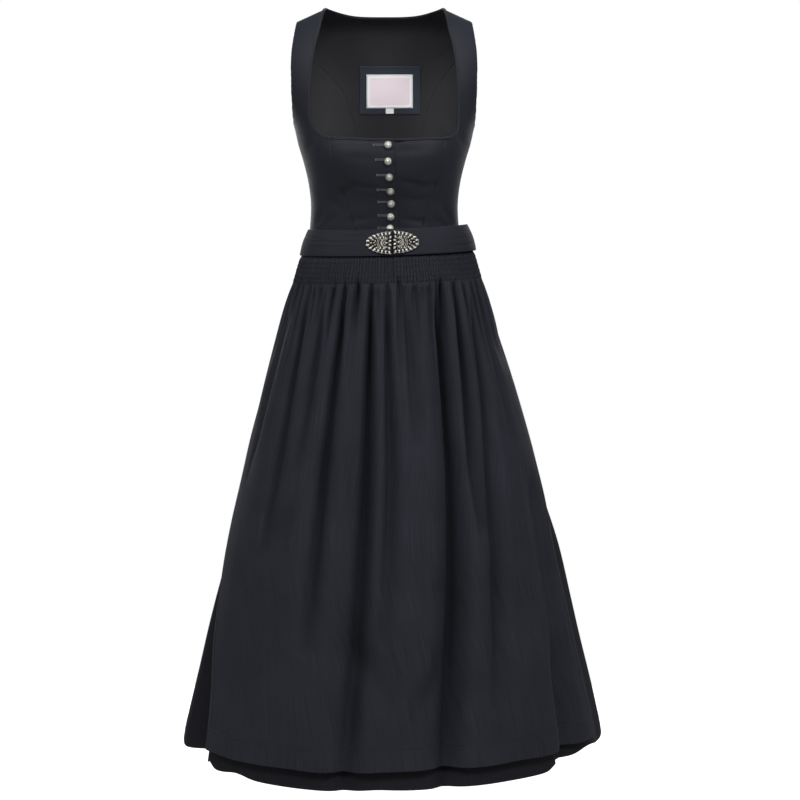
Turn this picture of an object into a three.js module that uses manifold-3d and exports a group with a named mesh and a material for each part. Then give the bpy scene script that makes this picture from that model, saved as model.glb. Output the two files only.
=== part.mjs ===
// A dirndl: a fitted bodice of seven panels buttoned down the front, a gathered skirt, and an
// apron with a smocked top on a waistband that a two-part filigree clasp closes.
// Millimetres. Up is +Z, the front faces -Y, and +X is the wearer's left.
// The origin lies between the shoulders, at the height where the straps rest on them.

import * as THREE from 'three';
import { mergeVertices } from 'three/addons/utils/BufferGeometryUtils.js';
import Module from 'manifold-3d';

const wasm = await Module();
wasm.setup();

// ---------------------------------------------------------------- driving dimensions

const seamGap = 0.3;             // between pieces that are sewn edge to edge, and under what lies on a panel
const bodiceWall = 1.8;          // outer cloth, interlining and lining in one
const skirtWall = 1.4;
const apronWall = 1.2;
const bandWall = 2.0;
const trimWall = 1.0;            // binding, patch and labels

const waistSeam = -394;          // the bodice is sewn to the skirt here, behind the waistband
const skirtHem = -1235;
const apronHem = -1206;
const hemTilt = 4;               // both hems hang lower at the wearer's right and higher at the left
const hemLift = 15;              // and the skirt's is lifted beside the fold at the left front
const hemLiftAngle = 67;
const hemLiftWidth = 12;
const centreFront = 6.7;         // the button line and the seams sit this far to the wearer's left

const fullness = 0.8;            // 1 is an ellipse, less is a fuller section
const cupHeight = 9;             // the cups stand this far out
const cupSide = 76;              // from the button line to the middle of a cup
const cupLevel = -248;
const cupWidth = 40;
const shoulderSlope = 0.45;      // fall per mm towards the arm
const strapInside = 98;
const shoulderSeam = 31.8;       // way up of the straps' ends, just short of the top
const side = Infinity;           // an edge that lies on the side seam
const sideSeamAngle = 0.016;     // degrees that a panel keeps back from the side seam

const bandHeight = 44;
const bandTopBack = -357;
const bandDipFront = 8;          // the band lies lower in front
const bandRiseLeft = 4.5;        // and higher at the wearer's left than at the right
const smockHeight = 45;
const smockTuck = 4;             // of the smocking goes up behind the band
const smockRibs = 100;
const smockRibHeight = 1.7;
const smockSideAngle = 97;
const slitX = 14;                // where the band and the smocking part, under the clasp

const gathersEach = 23;          // in the apron and in each half of the skirt
const gatherStep = 4;            // columns to one gather
const apronClearance = 10;       // from the face of the apron to the skirt under it

const buttonRadius = 6.15;
const buttonHeight = 4.3;
const bindingWidth = 4.4;

// Torso sections: way up (height, then distance over the shoulder), height, half width,
// front depth, back depth.
const torso = {
  columns: ['way', 'z', 'half', 'front', 'back'],
  rows: [
    [-394, -394, 131, 92, 86],
    [-360, -360, 126, 91, 84],
    [-320, -320, 124, 101, 85],
    [-284, -284, 128, 119, 88],
    [-250, -250, 136, 127, 93],
    [-220, -220, 145, 124, 98],
    [-190, -190, 152, 113, 100],
    [-160, -160, 162, 104, 101],
    [-130, -130, 172, 97, 100],
    [-100, -100, 177, 89, 98],
    [-65, -65, 178, 77, 91],
    [-35, -35, 177, 61, 80],
    [-12, -12, 175, 42, 66],
    [10, 3, 173, 21, 42],
    [32, 8, 172, 0, 0],
  ],
};

// Skirt sections over the apron: height, half width, front depth, back depth, sideways drift.
const drape = {
  columns: ['way', 'half', 'front', 'back', 'drift'],
  rows: [
    [-1260, 361, 344, 318, 14],
    [-1210, 356, 334, 309, 15],
    [-1099, 330, 302, 280, 15],
    [-926, 290, 255, 237, 14],
    [-754, 247, 207, 192, 11],
    [-617, 211, 168, 155, 8],
    [-515, 182, 139, 128, 6],
    [-448, 161, 120, 110, 6],
    [-414, 151, 110, 101, 6],
    [-380, 141, 101, 93, 6],
  ],
};

// The apron's two side edges: height, angle at the wearer's right, angle at the left.
const apronEdge = {
  columns: ['way', 'right', 'left'],
  rows: [
    [-1220, -59, 71.5],
    [-1165, -61, 71.5],
    [-1075, -67, 72],
    [-982, -75, 72.5],
    [-890, -84, 74],
    [-800, -90, 80],
    [-700, -94, 89],
    [-560, -96, 95],
    [-400, -97, 97],
  ],
};

// Long folds: angle at the waist, half way down and at the hem, the heights they run between,
// depth and half width.
const folds = {
  columns: ['waist', 'middle', 'hem', 'from', 'to', 'deep', 'wide'],
  rows: [
    [-72, -73, -71, -455, -790, 9, 15],
    [-54, -51, -50, -455, -900, 11, 16],
    [-39, -39.5, -38, -455, -760, 10, 15],
    [-25.5, -28, -27, -455, -1040, 13, 17],
    [-10, -10.5, -13, -455, -1300, 19, 20],
    [-0.5, -0.5, -5, -455, -1020, 10, 15],
    [11, 10, 9, -455, -720, 9, 14],
    [30.5, 24.7, 13.2, -440, -1300, 26, 22],
    [45, 33.5, 30, -455, -860, 10, 16],
    [59, 42, 26, -455, -1130, 13, 18],
    [68, 68, 54, -740, -1500, 10, 20],
    [68, 68, 54, -1000, -1500, 16, 24],
    [-98, -98, -68.5, -900, -1500, 18, 24],
    [-98, -98, -68.5, -1050, -1500, 32, 30],
    [104, 103, 106, -440, -1300, 20, 20],
    [122, 125, 121, -430, -1020, 14, 17],
    [138, 137, 141, -430, -1400, 24, 22],
    [154, 156, 153, -430, -900, 12, 16],
    [170, 168, 172, -430, -1400, 22, 21],
    [188, 189, 186, -430, -1100, 15, 18],
    [205, 202, 207, -430, -1400, 25, 23],
    [221, 223, 220, -430, -860, 12, 16],
    [236, 238, 233, -430, -1400, 21, 20],
    [254, 251, 255, -430, -1180, 17, 19],
  ],
};

// Heights of the rows of points of the skirt and the apron, between their upper edges and hems.
const sharedRows = [-490, -570, -700, -870, -1040];
const skirtUpperRow = -404;

// Side front panel, from the waist over the bust and up the strap: its edge on the princess seam
// and the neckline, then its edge on the side seam and the armhole.
const sideFrontEdges = {
  columns: ['neckX', 'neckWay', 'armX', 'armWay'],
  rows: [
    [54, -394, side, -394],
    [57, -360, side, -360],
    [69, -320, side, -320],
    [83, -284, side, -284],
    [91.5, -250, side, -250],
    [93, -229, side, -220],
    [93.5, -216, side, -203],
    [102, -213, side, -190],
    [111, -206, 152.5, -184],
    [118.5, -190, 153.5, -168],
    [121, -163, 154, -148],
    [120, -130, 154.5, -120],
    [118, -95, 155, -90],
    [113, -60, 154, -58],
    [107, -35, 152, -33],
    [102.5, -8, 149.5, -8],
    [99.5, 12, 148, 12],
    [98, shoulderSeam, 147, shoulderSeam],
  ],
};

// Side back panel: its curved seam, which ends on the armhole, then its edge on the side seam and
// the armhole.
const sideBackEdges = {
  columns: ['seamX', 'seamWay', 'armX', 'armWay'],
  rows: [
    [42, -394, side, -394],
    [42, -360, side, -360],
    [44, -320, side, -320],
    [47, -284, side, -284],
    [50, -250, side, -250],
    [54, -220, side, -220],
    [57, -200, side, -203],
    [60, -180, side, -190],
    [66, -155, 152.5, -180],
    [76, -128, 153.5, -160],
    [91, -104, 154, -135],
    [112, -80, 154.5, -108],
    [134, -62, 155, -82],
    [149, -55, 154.6, -62],
  ],
};

// Above the end of that seam the middle back goes on to the armhole and the shoulder.
const strapBackEdges = {
  columns: ['edgeX', 'edgeWay'],
  rows: [
    [153.8, -50],
    [152, -33],
    [149.5, -8],
    [148, 12],
    [147, shoulderSeam],
  ],
};

// Buttons: place across and height.
const buttonPlaces = {
  columns: ['x', 'z'],
  rows: [[7, -231], [7, -257], [9, -282], [11, -304], [12, -324], [11, -345], [10, -364]],
};

// Label pieces inside the back: place across and height of the middle, width, height.
const labelPieces = {
  columns: ['name', 'x', 'z', 'wide', 'high'],
  rows: [
    ['label_patch', 9, -117.5, 106, 83],
    ['label', 8.5, -119, 81, 58],
    ['size_tab', 8.5, -153, 14, 9],
  ],
};

// ---------------------------------------------------------------- small helpers

const radians = THREE.MathUtils.degToRad;
const degrees = THREE.MathUtils.radToDeg;
const mix = THREE.MathUtils.lerp;
const ease = (value) => THREE.MathUtils.smoothstep(value, 0, 1);
const bump = (distance) => Math.exp(-distance * distance);
const span = (count) => Array.from({ length: count + 1 }, (_, i) => i / count);
const rowsOf = (table) => table.rows.map((row) => (
  Object.fromEntries(table.columns.map((name, i) => [name, row[i]]))));

// A table's column at a way, on a smooth curve through its rows.
function curveOf(table, name) {
  const column = table.columns.indexOf(name);
  const ways = table.rows.map((row) => row[0]);
  const values = table.rows.map((row) => row[column]);
  const slope = (i) => {
    const low = Math.max(i - 1, 0);
    const high = Math.min(i + 1, ways.length - 1);
    return (values[high] - values[low]) / (ways[high] - ways[low]);
  };
  return (way) => {
    const top = ways.length - 1;
    const next = THREE.MathUtils.clamp(ways.findIndex((w) => w > way), 1, top) || top;
    const i = way >= ways[top] ? top : next;
    const step = ways[i] - ways[i - 1];
    const t = THREE.MathUtils.clamp((way - ways[i - 1]) / step, 0, 1);
    const rise = values[i] - values[i - 1];
    const startSlope = slope(i - 1) * step;
    const endSlope = slope(i) * step;
    return values[i - 1] + startSlope * t + (3 * rise - 2 * startSlope - endSlope) * t * t
      + (startSlope + endSlope - 2 * rise) * t * t * t;
  };
}

const torsoCurve = Object.fromEntries(torso.columns.map((name) => [name, curveOf(torso, name)]));
const drapeCurve = Object.fromEntries(drape.columns.map((name) => [name, curveOf(drape, name)]));
const edgeCurve = Object.fromEntries(apronEdge.columns.map((name) => [name, curveOf(apronEdge, name)]));

// ---------------------------------------------------------------- cloth walls

// Outward normals of a grid of points. Columns run towards the wearer's left in front, rows run up.
function gridNormals(grid) {
  return grid.map((row, r) => row.map((_, c) => {
    const across = new THREE.Vector3().subVectors(
      row[Math.min(c + 1, row.length - 1)], row[Math.max(c - 1, 0)]);
    const up = new THREE.Vector3().subVectors(
      grid[Math.min(r + 1, grid.length - 1)][c], grid[Math.max(r - 1, 0)][c]);
    return across.cross(up).normalize();
  }));
}

// The same laid level, for cloth whose upper and lower edges are cut level.
function levelNormals(grid) {
  return gridNormals(grid).map((row) => row.map((normal) => normal.setZ(0).normalize()));
}

// The grid moved along its normals.
function moved(grid, distance, normals) {
  return grid.map((row, r) => row.map((point, c) => (
    point.clone().addScaledVector(normals[r][c], distance))));
}

// A closed wall between an outer and an inner grid of the same size.
function wallBetween(outer, inner) {
  const rows = outer.length;
  const columns = outer[0].length;
  const positions = [...outer.flat(), ...inner.flat()].flatMap((p) => [p.x, p.y, p.z]);
  const out = (r, c) => r * columns + c;
  const inn = (r, c) => rows * columns + r * columns + c;
  const index = [];
  const quad = (a, b, c, d) => index.push(a, b, c, a, c, d);
  for (let r = 0; r + 1 < rows; r += 1) {
    for (let c = 0; c + 1 < columns; c += 1) {
      quad(out(r, c), out(r, c + 1), out(r + 1, c + 1), out(r + 1, c));
      quad(inn(r, c), inn(r + 1, c), inn(r + 1, c + 1), inn(r, c + 1));
    }
  }
  for (let c = 0; c + 1 < columns; c += 1) {
    quad(out(0, c), inn(0, c), inn(0, c + 1), out(0, c + 1));
    quad(out(rows - 1, c), out(rows - 1, c + 1), inn(rows - 1, c + 1), inn(rows - 1, c));
  }
  for (let r = 0; r + 1 < rows; r += 1) {
    quad(out(r, 0), out(r + 1, 0), inn(r + 1, 0), inn(r, 0));
    quad(out(r, columns - 1), inn(r, columns - 1), inn(r + 1, columns - 1), out(r + 1, columns - 1));
  }
  const geometry = new THREE.BufferGeometry();
  geometry.setAttribute('position', new THREE.Float32BufferAttribute(positions, 3));
  geometry.setIndex(index);
  return geometry;
}

const clothWall = (grid, thickness, normals = levelNormals(grid)) => (
  wallBetween(grid, moved(grid, -thickness, normals)));

// The place on a grid, as column and row with fractions, of a point seen from the front.
function placeOnGrid(grid, x, z) {
  const place = { column: (grid[0].length - 1) / 2, row: (grid.length - 1) / 2 };
  const solve = (count, valueAt, wanted) => {
    let low = 0;
    let high = count - 1;
    const rising = valueAt(high) > valueAt(low);
    for (let turn = 0; turn < 30; turn += 1) {
      const middle = (low + high) / 2;
      if ((valueAt(middle) < wanted) === rising) low = middle;
      else high = middle;
    }
    return (low + high) / 2;
  };
  for (let turn = 0; turn < 12; turn += 1) {
    place.column = solve(grid[0].length, (c) => onGrid(grid, c, place.row).x, x);
    place.row = solve(grid.length, (r) => onGrid(grid, place.column, r).z, z);
  }
  return place;
}

// The point between four neighbours of a grid.
function onGrid(grid, column, row) {
  const c = Math.min(Math.floor(column), grid[0].length - 2);
  const r = Math.min(Math.floor(row), grid.length - 2);
  const low = grid[r][c].clone().lerp(grid[r][c + 1], column - c);
  const high = grid[r + 1][c].clone().lerp(grid[r + 1][c + 1], column - c);
  return low.lerp(high, row - r);
}

// ---------------------------------------------------------------- bodice

// Shares of a section's half width and depth at an angle. The sections are fuller than an ellipse.
function sectionShares(angle, full = fullness) {
  const across = Math.sin(radians(angle));
  const along = Math.max(0, 1 - Math.abs(across) ** (2 / full)) ** (full / 2);
  return { across, along: Math.cos(radians(angle)) > 0 ? along : -along };
}

// The point of the torso at an angle (0 front, 90 the wearer's left) and a way up.
function torsoPoint(angle, way) {
  const { across, along } = sectionShares(angle);
  const depth = along > 0 ? torsoCurve.front(way) : torsoCurve.back(way);
  const x = torsoCurve.half(way) * across;
  const slopePart = ease((way + 110) / 120);
  const fall = shoulderSlope * slopePart * Math.max(0, Math.abs(x) - strapInside);
  const cup = along > 0 ? bump((way - cupLevel) / cupWidth) * Math.max(
    bump((x - centreFront - cupSide) / cupWidth), bump((x - centreFront + cupSide) / cupWidth)) : 0;
  const y = -depth * along - cupHeight * cup;
  return new THREE.Vector3(x, y, torsoCurve.z(way) - fall);
}

// The outward normal of the torso there. On the shoulder seam it leans neither forward nor back,
// and on the waist seam it is level.
function torsoNormal(angle, way) {
  const across = torsoPoint(angle + 0.6, way - 0.2).sub(torsoPoint(angle - 0.6, way - 0.2));
  const up = torsoPoint(angle, way + 3).sub(torsoPoint(angle, way - 3));
  const normal = across.cross(up).normalize();
  normal.y *= 1 - ease((way - shoulderSeam + 9) / 8);
  normal.z *= ease((way - waistSeam) / 8);
  return normal.normalize();
}

// The angle where the torso's section reaches a place across.
function frontAngle(x, way) {
  const share = Math.min(Math.abs(x) / torsoCurve.half(way), 1);
  return Math.sign(x) * (degrees(Math.asin(share)) - (share === 1 ? sideSeamAngle : 0));
}
const backAngle = (x, way) => 180 - frontAngle(x, way);

// The seams follow the button line, the neckline and the armholes the middle of the body.
const seamShift = (way) => centreFront * ease((-180 - way) / 34);
const backSeamShift = (way) => centreFront * ease((-60 - way) / 60);

// A panel holds a grid of points of the torso and their normals, from a grid of angles and ways.
function panelOf(places) {
  return {
    grid: places.map((row) => row.map(({ angle, way }) => torsoPoint(angle, way))),
    normals: places.map((row) => row.map(({ angle, way }) => torsoNormal(angle, way))),
  };
}

// A panel between two edges, each a list of angle and way.
function ruled(startEdge, endEdge, shares) {
  return panelOf(startEdge.map((start, r) => shares.map((share) => ({
    angle: mix(start.angle, endEdge[r].angle, share),
    way: mix(start.way, endEdge[r].way, share),
  }))));
}

const halfGap = seamGap / 2;
const sideFrontRows = rowsOf(sideFrontEdges);
const seamTopRow = sideFrontRows.findIndex((row) => row.neckWay >= -216);
const princessRows = sideFrontRows.slice(0, seamTopRow + 1);

// The front edges that a side front panel of one hand shares with the middle front.
function princessEdge(hand, keptBack) {
  return princessRows.map((row) => ({
    angle: frontAngle(seamShift(row.neckWay) + hand * (row.neckX - keptBack), row.neckWay),
    way: row.neckWay,
  }));
}

function sideFrontPanel(hand) {
  const neck = sideFrontRows.map((row) => ({
    angle: frontAngle(seamShift(row.neckWay) + hand * (row.neckX + halfGap), row.neckWay),
    way: row.neckWay,
  }));
  const arm = sideFrontRows.map((row) => ({
    angle: hand * frontAngle(row.armX, row.armWay),
    way: row.armWay,
  }));
  return hand > 0 ? ruled(neck, arm, span(8)) : ruled(arm, neck, span(8));
}

const lapEdge = (way) => mix(23.7, 17, ease((way + 363) / 134));
const lapInner = (way) => lapEdge(way) - 32;

// The wearer's right front laps over the left and ends at the lap edge.
function frontRightPanel() {
  const lap = princessRows.map((row) => ({
    angle: frontAngle(lapEdge(row.neckWay), row.neckWay),
    way: row.neckWay,
  }));
  return ruled(princessEdge(-1, halfGap), lap, span(8));
}

// The wearer's left front goes in under the lap, a wall deeper there.
function frontLeftPanel() {
  const hidden = princessRows.map((row) => ({
    angle: frontAngle(lapInner(row.neckWay), row.neckWay),
    way: row.neckWay,
  }));
  const { grid, normals } = ruled(hidden, princessEdge(1, halfGap), span(9));
  const step = bodiceWall + seamGap + 0.15;
  const under = grid.map((row, r) => row.map((point, c) => {
    const beyondLap = point.x - lapEdge(princessRows[r].neckWay);
    return point.clone().addScaledVector(normals[r][c], -step * (1 - ease((beyondLap - 3) / 22)));
  }));
  return { grid: under, normals };
}

const sideBackRows = rowsOf(sideBackEdges);
const backSeamX = (row, hand, kept) => backSeamShift(row.seamWay) + hand * (row.seamX + kept);

function sideBackPanel(hand) {
  const seam = sideBackRows.map((row) => ({
    angle: backAngle(backSeamX(row, hand, halfGap), row.seamWay),
    way: row.seamWay,
  }));
  const arm = sideBackRows.map((row) => ({
    angle: 180 - hand * frontAngle(row.armX, row.armWay),
    way: row.armWay,
  }));
  return hand > 0 ? ruled(arm, seam, span(6)) : ruled(seam, arm, span(6));
}

// The middle back: straps, shoulders and the back neck in one piece. Its columns fan out with its
// edges, and its last row is the shoulder seam and the neckline.
const backNeckWay = 5;
const backNeckShare = 2 / 3;     // of the way out, the strap begins
const backColumns = [0, 0.17, 0.34, 0.49, 0.59, backNeckShare, 0.83, 1];
function backCentrePanel() {
  const seamRows = sideBackRows.map((row) => ({
    right: backSeamX(row, -1, -halfGap), left: backSeamX(row, 1, -halfGap), way: row.seamWay,
  }));
  const strapRows = rowsOf(strapBackEdges).map((row) => ({
    right: -row.edgeX, left: row.edgeX, way: row.edgeWay,
  }));
  const edges = [...seamRows, ...strapRows];
  const bottom = edges[0].way;
  const top = edges[edges.length - 1].way;
  const columns = [...backColumns].reverse().concat(backColumns.slice(1).map((column) => -column));
  return panelOf(edges.map((edge) => columns.map((column) => {
    const inside = Math.min(Math.abs(column) / backNeckShare, 1);
    const ownTop = mix(backNeckWay, top, inside ** 4);
    const way = mix(bottom, ownTop, (edge.way - bottom) / (top - bottom));
    const x = mix(edge.right, edge.left, (column + 1) / 2);
    return { angle: backAngle(x, way), way };
  })));
}

// A strip that lies on a panel's edge: the edge's points and those next to them on the panel,
// both moved out.
function edgeStrip(points, lift = seamGap + 0.1) {
  const outer = [[], []];
  const inner = [[], []];
  points.forEach(({ edge, neighbour, normal }) => {
    const onPanel = edge.clone().addScaledVector(
      neighbour.clone().sub(edge).normalize(), bindingWidth);
    [onPanel, edge].forEach((point, r) => {
      inner[r].push(point.clone().addScaledVector(normal, lift));
      outer[r].push(point.clone().addScaledVector(normal, lift + trimWall));
    });
  });
  return wallBetween(outer, inner);
}

// The points of a neckline along a side front panel, from its shoulder down to the seam.
function strapNeckPoints({ grid, normals }, hand) {
  const edgeColumn = hand > 0 ? 0 : grid[0].length - 1;
  const nextColumn = hand > 0 ? 1 : edgeColumn - 1;
  const rows = grid.map((_, r) => r).filter((r) => r > seamTopRow).reverse();
  return rows.map((r) => ({
    edge: grid[r][edgeColumn], neighbour: grid[r][nextColumn], normal: normals[r][edgeColumn],
  }));
}

// The points of a neckline along the last row of a panel.
function topRowPoints({ grid, normals }, first, last) {
  const top = grid.length - 1;
  return grid[top].map((edge, c) => ({ edge, neighbour: grid[top - 1][c], normal: normals[top][c] }))
    .slice(first, last);
}

// ---------------------------------------------------------------- skirt and apron

const foldRows = rowsOf(folds);

// How far the long folds pull the cloth in, at an angle and a height. Each is a soft trough that
// deepens on its way down and wanders from its waist angle to its hem angle.
function foldDepth(angle, z) {
  const radius = (drapeCurve.half(z) + drapeCurve.front(z)) / 2;
  const down = THREE.MathUtils.clamp((waistSeam - z) / (waistSeam - apronHem), 0, 1);
  return foldRows.reduce((sum, fold) => {
    const centre = down < 0.45 ? mix(fold.waist, fold.middle, down / 0.45)
      : mix(fold.middle, fold.hem, (down - 0.45) / 0.55);
    const apart = Math.abs(THREE.MathUtils.euclideanModulo(angle - centre + 180, 360) - 180);
    const starts = ease((fold.from - z) / 90);
    const ends = ease((z - fold.to) / 190);
    const grown = 0.45 + 0.55 * ease(down / 0.5);
    return sum + fold.deep * starts * ends * grown * bump(radians(apart) * radius / fold.wide);
  }, 0);
}

// Small gathers under the waist, each a little deeper or shallower than the next.
function gatherDepth(share, z, top) {
  const wave = 0.5 - 0.5 * Math.cos(2 * Math.PI * gathersEach * share);
  const unevenness = 0.75 + 0.25 * Math.sin(37 * share) * Math.cos(61 * share);
  const fade = 1 - ease((top - z) / 260);
  return 3.6 * wave * unevenness * (0.35 + 0.65 * ease((top - z) / 14)) * fade;
}

// A point of the skirt's outline at an angle and a height, moved in by a distance.
function drapePoint(angle, z, moveIn) {
  const half = drapeCurve.half(z);
  const { across, along } = sectionShares(angle, mix(fullness, 1, ease((waistSeam - z) / 240)));
  const depth = along > 0 ? drapeCurve.front(z) : drapeCurve.back(z);
  const out = new THREE.Vector3(
    depth * Math.sin(radians(angle)), -half * Math.cos(radians(angle)), 0).normalize();
  return new THREE.Vector3(drapeCurve.drift(z) + half * across, -depth * along, z)
    .addScaledVector(out, -moveIn);
}

// How far the skirt lies inside the outline: behind the apron and just past its edges.
function underApron(angle, z) {
  const turned = angle > 180 ? angle - 360 : angle;
  const edge = turned > 0 ? edgeCurve.left(z) : -edgeCurve.right(z);
  return apronClearance * ease((edge + 19 - Math.abs(turned)) / 10);
}

// How much higher a hem lies at an angle than it does in the middle of the front.
function hemRise(angle) {
  const across = Math.sin(radians(angle + 5));
  return hemTilt * across / Math.hypot(across, 0.2);
}

// A point of half of the skirt, at a share of the way between its side seams and at a height.
// The top is sewn to the bodice's lower edge.
function skirtPoint(startAngle, share, wantedZ) {
  const angle = startAngle + 180 * share;
  const hem = skirtHem + hemRise(angle) + hemLift * bump((angle - hemLiftAngle) / hemLiftWidth);
  const top = waistSeam - seamGap;
  const z = wantedZ === 'hem' ? hem : wantedZ;
  const sewn = torsoPoint(angle, waistSeam).setZ(z);
  const free = drapePoint(angle, z,
    underApron(angle, z) + foldDepth(angle, z) + gatherDepth(share, z, top));
  return sewn.lerp(free, ease((top - z) / 16));
}

// Half of the skirt. Its normals are worked out with one more column past each side seam, so that
// the two halves keep their gap through the wall.
function skirtPanel(startAngle) {
  const count = gathersEach * gatherStep;
  const rows = ['hem', ...[...sharedRows].reverse(), skirtUpperRow, waistSeam - seamGap];
  const shares = [-1 / count, ...span(count), 1 + 1 / count];
  const wide = rows.map((z) => shares.map((share) => skirtPoint(startAngle, share, z)));
  const grid = wide.map((row) => row.slice(1, -1));
  const normals = levelNormals(wide).map((row) => row.slice(1, -1));
  const seamY = startAngle < 0 ? -halfGap : halfGap;
  grid.forEach((row) => [row[0], row.at(-1)].forEach((point) => point.setY(seamY)));
  return { grid, normals };
}

// The heights of the band's edges at an angle. The smocking hangs from the lower one.
function bandTop(angle) {
  const front = Math.max(0, Math.cos(radians(angle)));
  return bandTopBack - bandDipFront * front + bandRiseLeft * Math.sin(radians(angle));
}
const bandBottom = (angle) => bandTop(angle) - bandHeight;

// The apron hangs from the smocking, and its side edges swing in towards the hem.
function apronGrid() {
  return ['hem', ...[...sharedRows].reverse(), 'top'].map((row) => (
    span(gathersEach * gatherStep).map((share) => {
      const edgeZ = { hem: apronHem, top: -454 }[row] ?? row;
      const angle = mix(edgeCurve.right(edgeZ), edgeCurve.left(edgeZ), share);
      const top = bandBottom(angle) - smockHeight - seamGap;
      const z = { hem: apronHem + hemRise(angle), top }[row] ?? row;
      return drapePoint(angle, z,
        foldDepth(angle, z) * ease((top - z) / 20) + gatherDepth(share, z, top));
    })));
}

// Smocked cloth between two angles: fine ribs outside, plain inside.
function smockingWall(startAngle, endAngle) {
  const ribAngle = 2 * smockSideAngle / smockRibs;
  const ribs = Math.round((endAngle - startAngle) / ribAngle);
  const columns = span(2 * ribs);
  const heights = [1, 0];
  const gridAt = (raised) => heights.map((down) => columns.map((share, c) => {
    const angle = mix(startAngle, endAngle, share);
    const bottom = bandBottom(angle);
    const z = mix(bottom + smockTuck, bottom - smockHeight, down);
    const tucked = 2.2 * (1 - ease((bottom - z) / 14 + 0.3));
    const ridge = c % 2 === 1 ? smockRibHeight : 0;
    return drapePoint(angle, z, tucked + smockRibHeight - (raised ? ridge : 0));
  }));
  const plain = gridAt(false);
  return wallBetween(gridAt(true), moved(plain, -apronWall, levelNormals(plain)));
}

// The waistband: a strip that stands a little off the bodice and flares with the gathers under it.
function bandPoint(angle, down) {
  const z = bandTop(angle) - bandHeight * down;
  const { across, along } = sectionShares(angle);
  const flare = down + 0.12 * Math.sin(Math.PI * down);
  const half = mix(134.5, 149.5, flare);
  const depth = along > 0 ? mix(99.5, 110.5, flare) : mix(93, 101, flare);
  return new THREE.Vector3(mix(5.5, 6, down) + half * across, -depth * along, z);
}

// The angle of a place across on the front of the band.
const bandAngle = (x) => degrees(Math.asin((x - 6) / 142));

function bandGrid(startAngle, endAngle) {
  return [1, 0.5, 0].map((down) => span(30).map((share) => (
    bandPoint(mix(startAngle, endAngle, share), down))));
}

// ---------------------------------------------------------------- hardware

const buttonProfile = [
  [0, 0], [2.4, 0], [2.4, 0.9], [buttonRadius - 0.4, 1.1], [buttonRadius, 1.8], [5.2, 3.1],
  [3.1, buttonHeight - 0.3], [0, buttonHeight],
].map(([x, y]) => new THREE.Vector2(x, y));

// A turned button whose axis is +Z.
function buttonShape() {
  return new THREE.LatheGeometry(buttonProfile, 11).rotateX(Math.PI / 2);
}

// A geometry joined to a solid that booleans can take.
function solidOf(geometry) {
  geometry.deleteAttribute('normal');
  geometry.deleteAttribute('uv');
  const merged = mergeVertices(geometry, 1e-4);
  return new wasm.Manifold(new wasm.Mesh({
    numProp: 3,
    vertProperties: new Float32Array(merged.attributes.position.array),
    triVerts: new Uint32Array(merged.index.array),
  }));
}

function geometryOf(solid) {
  const mesh = solid.getMesh();
  const geometry = new THREE.BufferGeometry();
  geometry.setAttribute('position', new THREE.Float32BufferAttribute(mesh.vertProperties, 3));
  geometry.setIndex(Array.from(mesh.triVerts));
  return geometry;
}

// One half of the clasp, drawn flat with its straight side on the slit and its round side at -X.
const claspHalfWidth = 43.5;
const claspHeight = 39;
const claspPlate = 1.3;
const claspSlit = 0.5;
const claspHub = { x: -19, radius: 4.2, height: 3.4 };
const claspLeaf = { count: 9, from: 6.2, long: 10.5, wide: 4.2, height: 1.9 };
const claspBead = { count: 9, ring: 5.9, radius: 1.4 };
const claspScallops = 9;

function claspOutline() {
  const points = [];
  const steps = claspScallops * 3;
  for (let i = 0; i <= steps; i += 1) {
    const turn = Math.PI / 2 + Math.PI * i / steps;
    const scallop = 1 - 0.045 * (0.5 + 0.5 * Math.cos(2 * Math.PI * claspScallops * i / steps));
    points.push(new THREE.Vector2(
      Math.min(claspHalfWidth * scallop * Math.cos(turn), 0) - claspSlit,
      claspHeight / 2 * scallop * Math.sin(turn)));
  }
  return new THREE.Shape(points);
}

function claspHalf() {
  let solid = solidOf(new THREE.ExtrudeGeometry(claspOutline(), { depth: claspPlate, bevelEnabled: false }));
  const add = (geometry) => {
    solid = solid.add(solidOf(geometry));
  };
  const dome = (radius, height, sides) => new THREE.LatheGeometry([
    [0, -claspPlate / 2], [radius, -claspPlate / 2], [0.85 * radius, 0.55 * height], [0, height],
  ].map(([x, y]) => new THREE.Vector2(x, y)), sides).rotateX(Math.PI / 2);
  add(dome(claspHub.radius, claspHub.height, 9).translate(claspHub.x, 0, claspPlate));
  for (let i = 0; i < claspLeaf.count; i += 1) {
    const turn = 2 * Math.PI * (i + 0.5) / claspLeaf.count;
    const reach = 1 + 0.22 * Math.abs(Math.cos(turn));
    add(dome(1, 1, 6)
      .scale(claspLeaf.long * reach / 2, claspLeaf.wide / 2, claspLeaf.height)
      .translate(claspLeaf.from + claspLeaf.long * reach / 2 - 1, 0, claspPlate - 0.1)
      .rotateZ(turn)
      .translate(claspHub.x, 0, 0));
  }
  for (let i = 0; i < claspBead.count; i += 1) {
    const turn = 2 * Math.PI * i / claspBead.count;
    add(dome(claspBead.radius, claspBead.radius * 1.1, 5).translate(
      claspHub.x + claspBead.ring * Math.cos(turn), claspBead.ring * Math.sin(turn), claspPlate));
  }
  return geometryOf(solid);
}

// ---------------------------------------------------------------- the object

const dirndl = new THREE.Group();
dirndl.name = 'dirndl';

const cloth = (color) => new THREE.MeshStandardMaterial({ color, roughness: 0.9, metalness: 0 });
const silver = () => new THREE.MeshStandardMaterial({ color: 0xb9b6ad, roughness: 0.4, metalness: 0.9 });

function piece(name, geometry, material) {
  const mesh = new THREE.Mesh(geometry, material);
  mesh.name = name;
  dirndl.add(mesh);
  return mesh;
}

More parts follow.
